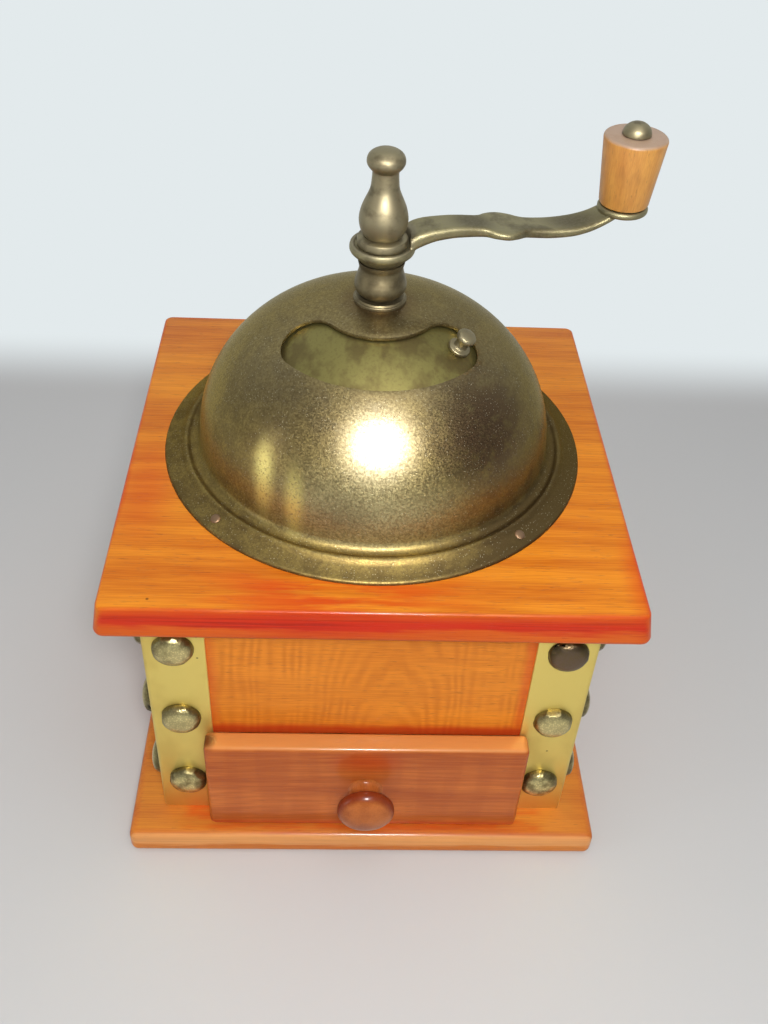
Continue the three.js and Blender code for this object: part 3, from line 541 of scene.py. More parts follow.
def dome_finish():
    """Spun brass, tarnished in clouds, stained and dusty all over, with a painted highlight round the
    flash's spot, painted reflections of the window and a painted reflection of the room greying its crown.
    """
    tint = metals()
    finish = Finish("dome_brass_tarnished", tint.dome)
    level = finish.along("Z")
    cloud = finish.noise((30, 30, 24), 71, 4, 0.6)
    mottle = finish.noise((5, 5, 4), 76, 3, 0.6)
    fine = finish.noise(0.7, 72, 2, 0.6)
    grain = finish.noise(0.35, 73, 1)
    patchy = finish.step(cloud * 0.6 + mottle * 0.4, 0.42, 0.62)
    # Painted highlight: a spot round the flash's reflection on the dome's front
    flash_highlight = finish.spot((-6, -54, 134), (46, 26, 24), 0.1)
    crown = finish.step(level, 138, 162)
    side = finish.step(finish.along("X") + cloud * 12, 16, 50)
    flange = finish.step(level, 124, 122)
    # Tarnish in clouds and on the flange, darker on the crown and the right side, and cleared where the
    # painted highlight lies
    dark = patchy * 0.45 + crown * 0.3 + side * 0.5 + flange * 0.45 - flash_highlight * 0.5
    finish.lay(dark.clamped(), tint.dome_dark)
    # Painted highlight: paler brass over the flash's spot, and a paler core where the flash reflects
    finish.lay(flash_highlight * (1 - flange) * 0.6, DOME_PAINTED_SHEEN)
    finish.lay(finish.spot((-0.4, -45.7, 152.1), 16, 0.1) * 0.35, DOME_PAINTED_GLARE)
    # Painted reflection of the pale room, greying the dome's crown
    finish.lay(crown * 0.3, DOME_CROWN_REFLECTION)
    finish.lay(finish.patches(0.44, 0.62, (0.9, 0.9, 0.8), 77, 3, 0.7) * 0.4, tint.dome_dark)
    finish.lay(finish.step(fine, 0.42, 0.6) * 0.35, tint.dome_dark)
    finish.lay(finish.spot((-9.5, -54, 133), (13, 7, 9), 0.1) * 0.35, tint.dome_dark)
    stain = finish.spot((32, -36, 150), (24, 26, 23), 0.2) * finish.step(mottle, 0.22, 0.52)
    collar = finish.step(finish.radius() + cloud * 5, 17, 10) * 0.7
    finish.lay(stain.larger(collar) * 0.9, tint.dome_brown)
    # Painted reflections of the window: two pale upright streaks low on the dome's left front
    left_window_reflection = finish.spot((-32.6, -42.4, 137), (4.7, 12, 18), 0.1)
    right_window_reflection = finish.spot((-23.7, -48.4, 133), (4.4, 9, 17), 0.1)
    finish.lay(left_window_reflection.larger(right_window_reflection) * finish.step(fine, 0.25, 0.55) * 0.9, DOME_STREAK_REFLECTION)
    dust = finish.step(finish.cells(0.8, 74), 0.24, 0.12) * finish.step(mottle, 0.36, 0.6)
    finish.lay(dust * 0.3, tint.dust)
    dull = finish.step(grain, 0.35, 0.65) * 0.24 + finish.step(level, 142, 126) * 0.12
    height = grain * 0.3 + dust * 0.3 + fine * 0.4
    return finish.done(roughness=0.25 + cloud * 0.06 + dull, metallic=0.94 - dust * 0.4,
                       specular_tint=DOME_GLOSS, coat_weight=0.2 - flange * 0.2, coat_roughness=0.26,
                       normal=finish.bump(height, 0.05))


def door_finish():
    """Smoother brass of the hopper door, smudged by fingers."""
    tint = metals()
    finish = Finish("door_brass_smudged", tint.door)
    smudge = finish.noise((7, 10, 12), 81, 3, 0.6, (0, 0.5, 0.4))
    fine = finish.noise(0.8, 82)
    finish.lay(finish.step(smudge, 0.42, 0.64) * 0.65, tint.dome_dark)
    finish.lay(finish.step(fine, 0.5, 0.7) * 0.25, tint.dome_brown)
    return finish.metal(0.36 + smudge * 0.16, fine, 0.02, 0.9)


def turned_finish(name, base, seed, dusty):
    """Lathe-turned bronze with fine rings and clouds of dark tarnish."""
    finish = Finish(name, base)
    rings = finish.noise((90, 90, 0.28), seed)
    cloud = finish.noise((5, 5, 4), seed + 1, 3, 0.6)
    fine = finish.noise((0.6, 0.6, 0.4), seed + 2)
    finish.lay(finish.step(cloud, 0.45, 0.7) * 0.55, metals().bronze_dark)
    finish.lay(finish.step(fine, 0.5, 0.72) * dusty, TURNED_DUST)
    return finish.metal(0.4 + cloud * 0.14 + rings * 0.08, rings * 0.7 + fine * 0.3, 0.03)


def cast_finish():
    """Cast brass of the crank arm, stained where hands and weather reach."""
    finish = Finish("crank_brass_cast", metals().cast)
    cloud = finish.noise((9, 9, 5), 91, 4, 0.6)
    fine = finish.noise(0.7, 92, 3, 0.6)
    inner = finish.spot((26, 5.5, 195), (9, 8, 8), 0.2)
    outer = finish.spot((56, 12, 194), (12, 8, 8), 0.2)
    dark = (finish.step(cloud, 0.46, 0.66) * 0.6).larger(inner * 0.7).larger(outer * 0.7)
    finish.lay(dark, metals().cast_dark)
    ring = finish.step(finish.radius(), 10.5, 8.6) * finish.step(finish.along("Z"), 188.6, 189.9)
    finish.lay((finish.step(fine, 0.4, 0.65) * 0.35).larger(ring * 0.7), CAST_DUST)
    return finish.metal(0.42 + cloud * 0.14 + fine * 0.1, fine * 0.7 + cloud * 0.3, 0.06)


def plain_metal_finish(name, base, seed, rough, grain):
    """Metal with soft clouds and a fine grain, for nails and for the pieces inside."""
    finish = Finish(name, base)
    cloud = finish.noise(8, seed, 3)
    finish.lay(finish.step(cloud, 0.4, 0.7) * 0.5, darker(base, 0.45))
    return finish.metal(rough + cloud * 0.15, finish.noise(grain, seed + 1), 0.05)


# Modelling by hand


def clear_selection():
    bpy.ops.object.select_all(action="DESELECT")


def select_only(piece):
    clear_selection()
    piece.select_set(True)
    bpy.context.view_layer.objects.active = piece


def enter_edit():
    bpy.ops.object.mode_set(mode="EDIT")


def leave_edit():
    bpy.ops.object.mode_set(mode="OBJECT")


def select_all():
    bpy.ops.mesh.select_all(action="SELECT")


def edit(piece, kind="VERT"):
    """Open a piece in edit mode with nothing selected."""
    select_only(piece)
    enter_edit()
    bpy.ops.mesh.select_mode(type=kind)
    bpy.ops.mesh.select_all(action="DESELECT")


def new_piece(name):
    """Name the object that was just added, and give it back."""
    piece = bpy.context.object
    piece.name = name
    piece.data.name = name
    return piece


def apply_place(piece):
    select_only(piece)
    bpy.ops.object.transform_apply(location=True, rotation=True, scale=True)


def apply_modifier(piece, kind, **settings):
    """Add a modifier with its settings and apply it."""
    select_only(piece)
    modifier = piece.modifiers.new(kind.title(), kind)
    for field, value in settings.items():
        setattr(modifier, field, value)
    bpy.ops.object.modifier_apply(modifier=modifier.name)


def bevel_sharp(piece, width, segments=2, angle=60):
    """Bevel every edge sharper than an angle."""
    apply_modifier(piece, "BEVEL", width=width * MM, segments=segments, limit_method="ANGLE",
                   angle_limit=math.radians(angle), use_clamp_overlap=True)


def thicken(piece, sheet):
    """Give a shell its thickness inwards, in metres."""
    apply_modifier(piece, "SOLIDIFY", thickness=sheet, offset=-1, use_even_offset=True)


def smooth(piece, angle=32):
    select_only(piece)
    bpy.ops.object.shade_smooth_by_angle(angle=math.radians(angle))


def seed_point(name, point):
    """Start a piece from one point, in millimetres, open in edit mode."""
    clear_selection()
    bpy.ops.mesh.primitive_plane_add(size=MM)
    piece = new_piece(name)
    enter_edit()
    bpy.ops.mesh.select_mode(type="VERT")
    select_all()
    bpy.ops.mesh.merge(type="CENTER")
    bpy.ops.transform.translate(value=Vector(point) * MM)
    return piece


def extrude_by(move):
    bpy.ops.mesh.extrude_region_move(TRANSFORM_OT_translate={"value": move * MM})


def extrude_through(points):
    """Extrude the selected point through a list of points, in millimetres."""
    for start, end in zip(points, points[1:]):
        extrude_by(Vector(end) - Vector(start))


def close_mesh():
    """Weld a mesh, turn its faces outwards and leave edit mode."""
    select_all()
    bpy.ops.mesh.remove_doubles(threshold=WELD)
    bpy.ops.mesh.normals_make_consistent(inside=False)
    leave_edit()


def turned(name, outline, steps=TURN_STEPS):
    """Spin an outline of (radius, height) about the Z axis, as on a lathe."""
    points = [(radius, 0, height) for radius, height in outline]
    piece = seed_point(name, points[0])
    extrude_through(points)
    select_all()
    bpy.ops.mesh.spin(steps=steps, angle=math.tau, center=(0, 0, 0), axis=(0, 0, 1))
    close_mesh()
    return piece


def cylinder(name, radius, bottom, top):
    return turned(name, [(0, bottom), (radius, bottom), (radius, top), (0, top)])


def prism(name, corners, bottom, top):
    """Extrude a flat outline of (x, y) corners from bottom to top."""
    points = [(x, y, bottom) for x, y in corners]
    piece = seed_point(name, points[0])
    extrude_through(points)
    select_all()
    bpy.ops.mesh.edge_face_add()
    extrude_by(Vector((0, 0, top - bottom)))
    close_mesh()
    return piece


def block(name, start, end):
    """A board or bar between two corners, in millimetres."""
    clear_selection()
    centre = (start + end) / 2 * MM
    bpy.ops.mesh.primitive_cube_add(size=1, location=centre, scale=(end - start) * MM)
    piece = new_piece(name)
    apply_place(piece)
    return piece


def bevel_edges(piece, chosen, width, segments):
    """Bevel the edges that chosen accepts by their two ends, in millimetres."""
    edit(piece, "EDGE")
    leave_edit()
    points = piece.data.vertices
    for line in piece.data.edges:
        line.select = chosen(*(points[i].co / MM for i in line.vertices))
    enter_edit()
    bpy.ops.mesh.bevel(offset=width * MM, segments=segments, affect="EDGES")
    leave_edit()


def lies_at(axis, level, near=0.01):
    """A test for edges that lie at a level of an axis."""
    return lambda a, b: abs(a[axis] - level) + abs(b[axis] - level) < near


def runs_along(axis, least=1):
    """A test for edges that go through a board along an axis."""
    return lambda a, b: abs(a[axis] - b[axis]) > least


def rounded_board(name, start, end, corner, lower, upper):
    """A flat board with rounded corners, and its lower and upper edges rounded by their own radii."""
    piece = block(name, start, end)
    bevel_edges(piece, runs_along(2), corner, 6)
    bevel_edges(piece, lies_at(2, start.z), lower, 6)
    bevel_edges(piece, lies_at(2, end.z), upper, 4)
    return piece


def rounded_front(name, start, end, corner, edge):
    """A board that stands upright, with its front and back edges rounded."""
    piece = block(name, start, end)
    bevel_edges(piece, runs_along(1), corner, 5)
    front, back = lies_at(1, start.y), lies_at(1, end.y)
    bevel_edges(piece, lambda a, b: front(a, b) or back(a, b), edge, 5)
    return piece


def lean_in(piece, start, end, reach, level):
    """Draw what lies above a level in towards the middle, by a reach at the sides."""
    edit(piece)
    leave_edit()
    for point in piece.data.vertices:
        point.select = point.co.z > level * MM
    enter_edit()
    wide, deep = (end.x - start.x) / 2, (end.y - start.y) / 2
    centre = Vector(((start.x + end.x) / 2, (start.y + end.y) / 2, end.z)) * MM
    bpy.ops.transform.resize(value=(1 - reach / wide, 1 - reach / deep, 1), center_override=centre)
    leave_edit()


def arc(centre, radius, first, last, steps):
    """Points round a centre from the first angle to the last, both ends with them."""
    angles = [first + (last - first) * k / steps for k in range(steps + 1)]
    return [(centre[0] + radius * math.cos(a), centre[1] + radius * math.sin(a)) for a in angles]


def flowing(points, steps=4):
    """Points of a smooth line that passes through the given ones."""
    line = []
    last = len(points) - 1
    for i in range(last):
        before, start, end, after = (Vector(points[min(max(j, 0), last)]) for j in range(i - 1, i + 3))
        for k in range(steps):
            t = k / steps
            bend = (2 * before - 5 * start + 4 * end - after) * t * t
            turn = (3 * start - before - 3 * end + after) * t * t * t
            line.append(tuple((2 * start + (end - before) * t + bend + turn) / 2))
    return line + [tuple(points[-1])]


def sized(shares, radius, bottom, height):
    """An outline's points from its shares of a radius and a height."""
    return [(share * radius, bottom + rise * height) for share, rise in shares]


def carve(piece, cutter, operation="DIFFERENCE"):
    """Cut, cross or join a piece with another one, which is then removed."""
    apply_modifier(piece, "BOOLEAN", operation=operation, object=cutter, solver="EXACT")
    bpy.data.meshes.remove(cutter.data)


def stand(piece, matrix):
    """Stand a piece at its place and keep the place in its mesh."""
    piece.matrix_world = matrix
    apply_place(piece)


def moved(x, y, z):
    """Matrix of a move in millimetres."""
    return Matrix.Translation(Vector((x, y, z)) * MM)


def copy_of(piece, name):
    select_only(piece)
    bpy.ops.object.duplicate(linked=False)
    return new_piece(name)


def hand_over(piece, material, slot, body, *nodes):
    """Dress a finished piece and let it stand for its nodes of the frame."""
    piece.data.materials.clear()
    piece.data.materials.append(material)
    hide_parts(*nodes)
    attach(piece, body)


def dress(material, *nodes):
    """Give pieces of the frame their finish."""
    for node in nodes:
        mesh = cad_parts[node].data
        mesh.materials.clear()
        mesh.materials.append(material)


# Operators


class GrinderStep:
    """What all steps of making the grinder share"""

    bl_options = {"REGISTER", "UNDO"}


class GRINDER_OT_boards(GrinderStep, bpy.types.Operator):
    """Plane the top and base boards"""

    bl_idname = "grinder.boards"
    bl_label = "Boards"

    top_corner = 2.9
    base_corner = 2.8
    hole = 30.9
    cut_past = 3
    lean_margin = 0.1

    def execute(self, context):
        self.plane_top()
        self.plane_base()
        return {"FINISHED"}

    def plane_top(self):
        """Round the top board, lean its edges in and cut its hole."""
        start, end = low("top_board"), high("top_board")
        lower, arris = sizes().board_round / MM, sizes().board_arris / MM
        top = rounded_board("top_board_planed", start, end, self.top_corner, lower, arris)
        lean_in(top, start, end, sizes().board_lean / MM, end.z - arris - self.lean_margin)
        carve(top, cylinder("hole_cutter", self.hole, start.z - self.cut_past, end.z + self.cut_past))
        smooth(top)
        varnish = board_finish("top_board_varnish", start, end, 1, 1.0, woods().stain)
        hand_over(top, varnish, "board_wood", "grinder_body", "top_board")

    def plane_base(self):
        start, end = low("base_board"), high("base_board")
        edge = sizes().base_round / MM
        base = rounded_board("base_board_planed", start, end, self.base_corner, edge, edge)
        smooth(base)
        # The base board's front gets the painted highlight colour
        varnish = board_finish("base_board_varnish", start, end, 21, 0.25, woods().base_front_highlight)
        hand_over(base, varnish, "board_wood", "grinder_body", "base_board")


class GRINDER_OT_case(GrinderStep, bpy.types.Operator):
    """Finish the case's walls and bend the corner strips"""

    bl_idname = "grinder.case"
    bl_label = "Case and strips"

    strip_sheet = 1.0
    strip_edge = 0.25

    def execute(self, context):
        dress(panel_finish(), "front_panel")
        dress(wall_finish("back_wall_wood", 0, 15), "back_wall")
        dress(wall_finish("side_wall_wood", 1, 23), "left_wall", "right_wall")
        brass = strip_finish()
        for place in ("front_left", "front_right", "back_left", "back_right"):
            self.bend_strip(place, brass)
        return {"FINISHED"}

    def bend_strip(self, place, brass):
        """Bend one angle of sheet brass round its corner."""
        node = f"corner_strip_{place}"
        start, end = low(node), high(node)
        x, y = max(abs(start.x), abs(end.x)), max(abs(start.y), abs(end.y))
        width, sheet, bend = end.x - start.x, self.strip_sheet, sizes().strip_bend / MM
        outside = arc((x - bend, y - bend), bend, 0, math.pi / 2, 6)
        corners = [(x, y - width), *outside, (x - width, y), (x - width, y - sheet),
                   (x - sheet, y - sheet), (x - sheet, y - width)]
        side = -1 if "left" in place else 1
        face = -1 if "front" in place else 1
        strip = prism(f"strip_bent_{place}", [(side * a, face * b) for a, b in corners], start.z, end.z)
        bevel_sharp(strip, self.strip_edge)
        smooth(strip)
        hand_over(strip, brass, "strip_brass", "grinder_body", node)


class GRINDER_OT_studs(GrinderStep, bpy.types.Operator):
    """Forge the pebbled studs and drive them through the strips"""

    bl_idname = "grinder.studs"
    bl_label = "Studs"

    head_radius = 6.3
    head_rise = 3.7
    head = [(head_radius, 0), (6.25, 0.9), (5.85, 1.85), (4.8, 2.75), (3.3, 3.36), (1.6, 3.64),
            (0, head_rise)]
    shank = [(0, -NAIL_POINT), (0.7, -6.2), (1.1, -5), (1.1, 0)]
    edge = 0.3
    # Where the painted shade of the rim begins and how wide it grows, in millimetres
    rim_start = 4.2
    rim_width = 1.8
    patterns = 4
    seed = 12

    # The flats round a head: how far each strays from its place, leans in degrees and cuts in
    flats = 8
    flat_stray = 0.14
    flat_lean = (64, 78)
    flat_depth = (0.05, 0.32)

    # The seen studs' finishes, copies of one brass painted lighter or darker to stand in for how brightly
    # each is lit; the brown stud is 3 and the brightest ones are 2
    seen_finishes = {
        "stud_front_left_end_1": 0, "stud_front_left_end_2": 2, "stud_front_left_end_3": 1,
        "stud_front_right_end_1": 0, "stud_front_right_end_2": 2, "stud_front_right_end_3": 3}

    def execute(self, context):
        chance = random.Random(self.seed)
        patterns = [self.forge(chance, i) for i in range(self.patterns)]
        tint = metals()
        # Lit and shaded copies of the stud brass, and a brown one
        finishes = [stud_finish(f"stud_brass_{i}", 101 + i * 7, tint.stud, i * 0.25) for i in range(3)]
        finishes.append(stud_finish("stud_brass_brown", 133, tint.stud_brown, 0.3))
        nodes = sorted(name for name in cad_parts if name.startswith("stud_"))
        for count, node in enumerate(nodes):
            finish = finishes[self.seen_finishes.get(node, count % 2)]
            self.drive(node, patterns[count % self.patterns], chance.uniform(0, math.tau), finish)
        for pattern in patterns:
            bpy.data.meshes.remove(pattern.data)
        return {"FINISHED"}

    def forge(self, chance, number):
        """One domed stud with flats round its rim, its head's foot on the floor."""
        stud = turned(f"stud_pattern_{number}", [*self.shank, *flowing(self.head)], 48)
        for k in range(self.flats):
            turn = math.tau * (k + chance.uniform(-self.flat_stray, self.flat_stray)) / self.flats
            lean = math.radians(chance.uniform(*self.flat_lean))
            side = math.sin(lean)
            away = Vector((math.cos(turn) * side, math.sin(turn) * side, math.cos(lean)))
            reach = self.support(away) - chance.uniform(*self.flat_depth)
            edit(stud)
            select_all()
            bpy.ops.mesh.bisect(plane_co=away * reach * MM, plane_no=away, use_fill=True, clear_outer=True)
            leave_edit()
        bevel_sharp(stud, self.edge, 3, 14)
        smooth(stud, 50)
        self.mark_rim_shade(stud)
        return stud

    def support(self, away):
        """How far the head reaches towards a direction, in millimetres."""
        side = math.hypot(away.x, away.y)
        return math.sqrt((self.head_radius * side) ** 2 + (self.head_rise * away.z) ** 2)

    def mark_rim_shade(self, stud):
        """Keep in the mesh how near each point is to the head's rim, for the painted shade there."""
        rim = stud.data.attributes.new("rim", "FLOAT", "POINT")
        for point, mark in zip(stud.data.vertices, rim.data):
            past = math.hypot(point.co.x, point.co.y) / MM - self.rim_start
            mark.value = min(max(past, 0) / self.rim_width, 1)

    def drive(self, node, pattern, turn, finish):
        """Set a copy of a stud at its node, its head outwards to the front, the back or a side."""
        start, end = low(node), high(node)
        place = (start + end) / 2
        axis = 1 if "_end_" in node else 0
        out = Vector((0, 0, 0))
        out[axis] = math.copysign(1, place[axis])
        place[axis] = start[axis] + self.head_rise if place[axis] < 0 else end[axis] - self.head_rise
        lean = out.to_track_quat("Z", "Y").to_matrix().to_4x4()
        stud = copy_of(pattern, node.replace("stud_", "stud_hammered_"))
        stand(stud, moved(*place) @ lean @ Matrix.Rotation(turn, 4, "Z"))
        hand_over(stud, finish, "stud_brass", "grinder_body", node)


class GRINDER_OT_drawer(GrinderStep, bpy.types.Operator):
    """Round the drawer's front, turn its knob and finish its box"""

    bl_idname = "grinder.drawer"
    bl_label = "Drawer"

    front_corner = 2
    knob_radius = 9.3
    knob_reach = 12.6
    knob_gap = 0.1
    stem_radius = 3.5
    stem_end = -7.2
    knob_shares = [
        (0.62, 0), (0.52, 0.05), (0.485, 0.14), (0.48, 0.25), (0.56, 0.4), (0.84, 0.47), (0.97, 0.54),
        (1, 0.62), (0.97, 0.74), (0.8, 0.86), (0.45, 0.96), (0, 1)]

    def execute(self, context):
        start, end = low("drawer_front"), high("drawer_front")
        front = rounded_front("drawer_front_planed", start, end, self.front_corner,
                              sizes().drawer_round / MM)
        smooth(front)
        hand_over(front, drawer_finish(), "drawer_wood", "drawer", "drawer_front")
        self.turn_knob(start.y)
        bare = bare_finish("drawer_box_wood", 1, 44)
        dress(bare, "drawer_left_side", "drawer_right_side", "drawer_bottom")
        dress(bare_finish("drawer_back_wood", 0, 47), "drawer_back")
        return {"FINISHED"}

    def turn_knob(self, face):
        """Turn the knob upright, then lay it to the front."""
        stem = [(0, self.stem_end), (self.stem_radius, self.stem_end), (self.stem_radius, self.knob_gap)]
        head = flowing(sized(self.knob_shares, self.knob_radius, self.knob_gap, self.knob_reach))
        knob = turned("drawer_knob_turned", [*stem, *head])
        level = middle("drawer_knob").z
        stand(knob, moved(0, face, level) @ Matrix.Rotation(math.pi / 2, 4, "X"))
        smooth(knob, 45)
        hand_over(knob, knob_finish(), "drawer_wood", "drawer", "drawer_knob")


def shell_outline(inset, reach, eye, steps):
    """The dome's curve, inset by its sheet, from its reach up to its eye, closer where it is steep."""
    wide, tall = DOME_REACH - inset, DOME_RISE - inset
    first = math.acos(min(reach / wide, 1))
    last = math.acos(eye / wide)
    angles = [first + (last - first) * k / steps for k in range(steps + 1)]
    return [(wide * math.cos(a), DOME_LEVEL + tall * math.sin(a)) for a in angles]


def shell_height(inset, circle):
    """Level of the dome's curve, inset by its sheet, over a circle round the axis."""
    return DOME_LEVEL + (DOME_RISE - inset) * math.sqrt(1 - (circle / (DOME_REACH - inset)) ** 2)


def shell_lean(circle):
    """How far the dome leans outwards over a circle round the axis."""
    return math.atan2(circle / DOME_REACH ** 2, math.sqrt(1 - (circle / DOME_REACH) ** 2) / DOME_RISE)


def stood_on_dome(circle, degrees, level, lean):
    """Matrix of a piece that stands square on the dome, at degrees from the front."""
    turn = Matrix.Rotation(FRONT + math.radians(degrees), 4, "Z")
    return turn @ moved(circle, 0, level) @ Matrix.Rotation(lean, 4, "Y")


class GRINDER_OT_dome(GrinderStep, bpy.types.Operator):
    """Spin the dome with its flange, cut its slot and add its nails and bush"""

    bl_idname = "grinder.dome"
    bl_label = "Dome"

    # Outlines of the flange, its ridge and the dome's foot, by radius and rise from the board
    lip = [(67.3, 0), (67.3, 0.4), (67.15, 0.8), (66.8, 1.1), (66.2, 1.22), (64.4, 1.92), (62.6, 2.65)]
    ridge = [(62.0, 3.0), (61.4, 3.55), (60.9, 4.0), (60.4, 4.2), (59.9, 4.05), (59.4, 3.65), (58.9, 3.38)]
    foot = [(58.3, 3.38), (57.5, 3.62), (56.9, 4.0), (56.4, 4.6), (56.05, 5.4)]
    eye = 5.7

    slot_circle = 26.2
    slot_half = 8.0
    slot_sweep = math.radians(52.5)
    slot_cut = (150, 190)

    nail_degrees = (-137.5, -48, 42.5, 132.5)
    nail_circle = 63.69
    nail_rise = 2.21
    nail_lean = math.radians(21.9)
    nail_shank = [(0, -NAIL_POINT), (0.8, -6), (0.8, 0.02)]
    nail_head = [(1.6, 0.02), (1.5, 0.2), (1.1, 0.36), (0.55, 0.44), (0, 0.46)]

    # The bush's neck and collar, and its rim by radius and drop from the top
    bush_neck = 5.3
    bush_neck_top = 172.0
    bush_collar = 7.9
    bush_collar_foot = 171.8
    bush_rim = [(bush_collar, 0.75), (7.75, 0.58), (7.4, 0.5), (7.28, 0.35), (7.1, 0)]

    def execute(self, context):
        board = high("top_board").z
        curve = [(radius, board + rise) for radius, rise in [*self.lip, *self.ridge, *self.foot]]
        shell = shell_outline(0, DOME_REACH, self.eye, 30)
        dome = turned("dome_spun", [*curve, *shell], DOME_STEPS)
        thicken(dome, sizes().sheet)
        carve(dome, self.slot_cutter())
        bevel_sharp(dome, sizes().cut_edge / MM)
        smooth(dome, 40)
        hand_over(dome, dome_finish(), "dome_brass", "grinder_body", "dome")
        self.drive_nails(board + self.nail_rise)
        self.turn_bush()
        return {"FINISHED"}

    def slot_cutter(self):
        """A bean shape that follows the dome round its front."""
        first, last = FRONT - self.slot_sweep, FRONT + self.slot_sweep
        outer = arc((0, 0), self.slot_circle + self.slot_half, first, last, 24)
        inner = arc((0, 0), self.slot_circle - self.slot_half, last, first, 24)
        corners = [*outer, *self.round_end(last, last), *inner, *self.round_end(first, first + math.pi)]
        return prism("slot_cutter", corners, *self.slot_cut)

    def round_end(self, angle, begin):
        """Half a circle that closes the slot at an angle, without its two ends."""
        centre = self.slot_circle * math.cos(angle), self.slot_circle * math.sin(angle)
        return arc(centre, self.slot_half, begin, begin + math.pi, 12)[1:-1]

    def drive_nails(self, level):
        """Drive the four small nails through the flange."""
        copper = plain_metal_finish("nail_copper", metals().nail, 121, 0.45, 0.5)
        for number, degrees in enumerate(self.nail_degrees, 1):
            outline = [*self.nail_shank, *flowing(self.nail_head, 2)]
            nail = turned(f"dome_nail_driven_{number}", outline, 24)
            stand(nail, stood_on_dome(self.nail_circle, degrees, level, self.nail_lean))
            smooth(nail, 50)
            hand_over(nail, copper, "copper", "grinder_body", f"dome_nail_{number}")

    def turn_bush(self):
        """Turn the stepped collar that bears the spindle."""
        start, end = low("dome_bush").z, high("dome_bush").z
        neck = [(SHAFT_BORE, start), (self.bush_neck, start), (self.bush_neck, self.bush_neck_top)]
        rim = [(radius, end - drop) for radius, drop in self.bush_rim]
        collar = [(self.bush_collar, self.bush_collar_foot), *rim]
        bush = turned("dome_bush_turned", [*neck, *collar, (SHAFT_BORE, end), (SHAFT_BORE, start)])
        smooth(bush, 30)
        bronze = turned_finish("bush_bronze", metals().sleeve, 111, 0.35)
        hand_over(bush, bronze, "turned_bronze", "grinder_body", "dome_bush")


class GRINDER_OT_door(GrinderStep, bpy.types.Operator):
    """Cut the hopper door from its own shell and add its knob"""

    bl_idname = "grinder.door"
    bl_label = "Hopper door"

    inset = 1.6
    sheet = 0.9
    shell_reach = 41
    shell_eye = 5.6
    edge = 0.15
    half_sweep = math.radians(74)
    plate_reach = 38.5
    plate_eye = 10.0
    plan_cut = (145, 180)

    knob_circle = 27.3
    knob_degrees = 57.7
    knob_radius = 3.4
    knob_rise = 6.2
    knob_gap = 0.1
    knob_edge = 0.1
    rivet = [(0, -2.1), (2.0, -2.1), (2.2, -1.9), (2.2, -1.2), (1.3, -1.2), (1.3, knob_gap)]
    knob_shares = [
        (1, 0), (1, 0.12), (0.94, 0.16), (0.64, 0.2), (0.58, 0.26), (0.58, 0.6), (0.62, 0.66),
        (0.82, 0.7), (0.86, 0.76), (0.86, 0.86), (0.76, 0.95), (0.5, 1), (0, 1)]

    def execute(self, context):
        outline = shell_outline(self.inset, self.shell_reach, self.shell_eye, 14)
        door = turned("hopper_door_cut", outline, DOME_STEPS)
        thicken(door, self.sheet * MM)
        carve(door, self.plan(), "INTERSECT")
        bevel_sharp(door, self.edge)
        smooth(door, 40)
        hand_over(door, door_finish(), "door_brass", "door", "hopper_door")
        self.turn_knob()
        return {"FINISHED"}

    def plan(self):
        """The door's outline from above, a fan in front and an eye round the spindle."""
        first, last = FRONT - self.half_sweep, FRONT + self.half_sweep
        fan = arc((0, 0), self.plate_reach, first, last, 36)
        eye = arc((0, 0), self.plate_eye, last, first + math.tau, 24)
        return prism("door_plan", [*fan, *eye], *self.plan_cut)

    def turn_knob(self):
        """Turn the stepped knob with its rivet."""
        head = sized(self.knob_shares, self.knob_radius, self.knob_gap, self.knob_rise)
        knob = turned("door_knob_turned", [*self.rivet, *head], 48)
        bevel_sharp(knob, self.knob_edge, 2, 35)
        level, lean = shell_height(self.inset, self.knob_circle), shell_lean(self.knob_circle)
        stand(knob, stood_on_dome(self.knob_circle, self.knob_degrees, level, lean))
        smooth(knob, 35)
        bronze = turned_finish("door_knob_bronze", metals().bronze, 141, 0.2)
        hand_over(knob, bronze, "turned_bronze", "door", "door_knob")


class GRINDER_OT_mill(GrinderStep, bpy.types.Operator):
    """Finish the mill inside the case"""

    bl_idname = "grinder.mill"
    bl_label = "Mill"

    def execute(self, context):
        iron = plain_metal_finish("mill_iron", metals().iron, 151, 0.55, 0.9)
        steel = plain_metal_finish("mill_steel", metals().steel, 161, 0.3, 0.4)
        dress(iron, "mill_housing", "upper_bridge", "lower_bridge")
        dress(steel, "outer_burr", "inner_burr", "adjusting_screw", "spindle")
        return {"FINISHED"}


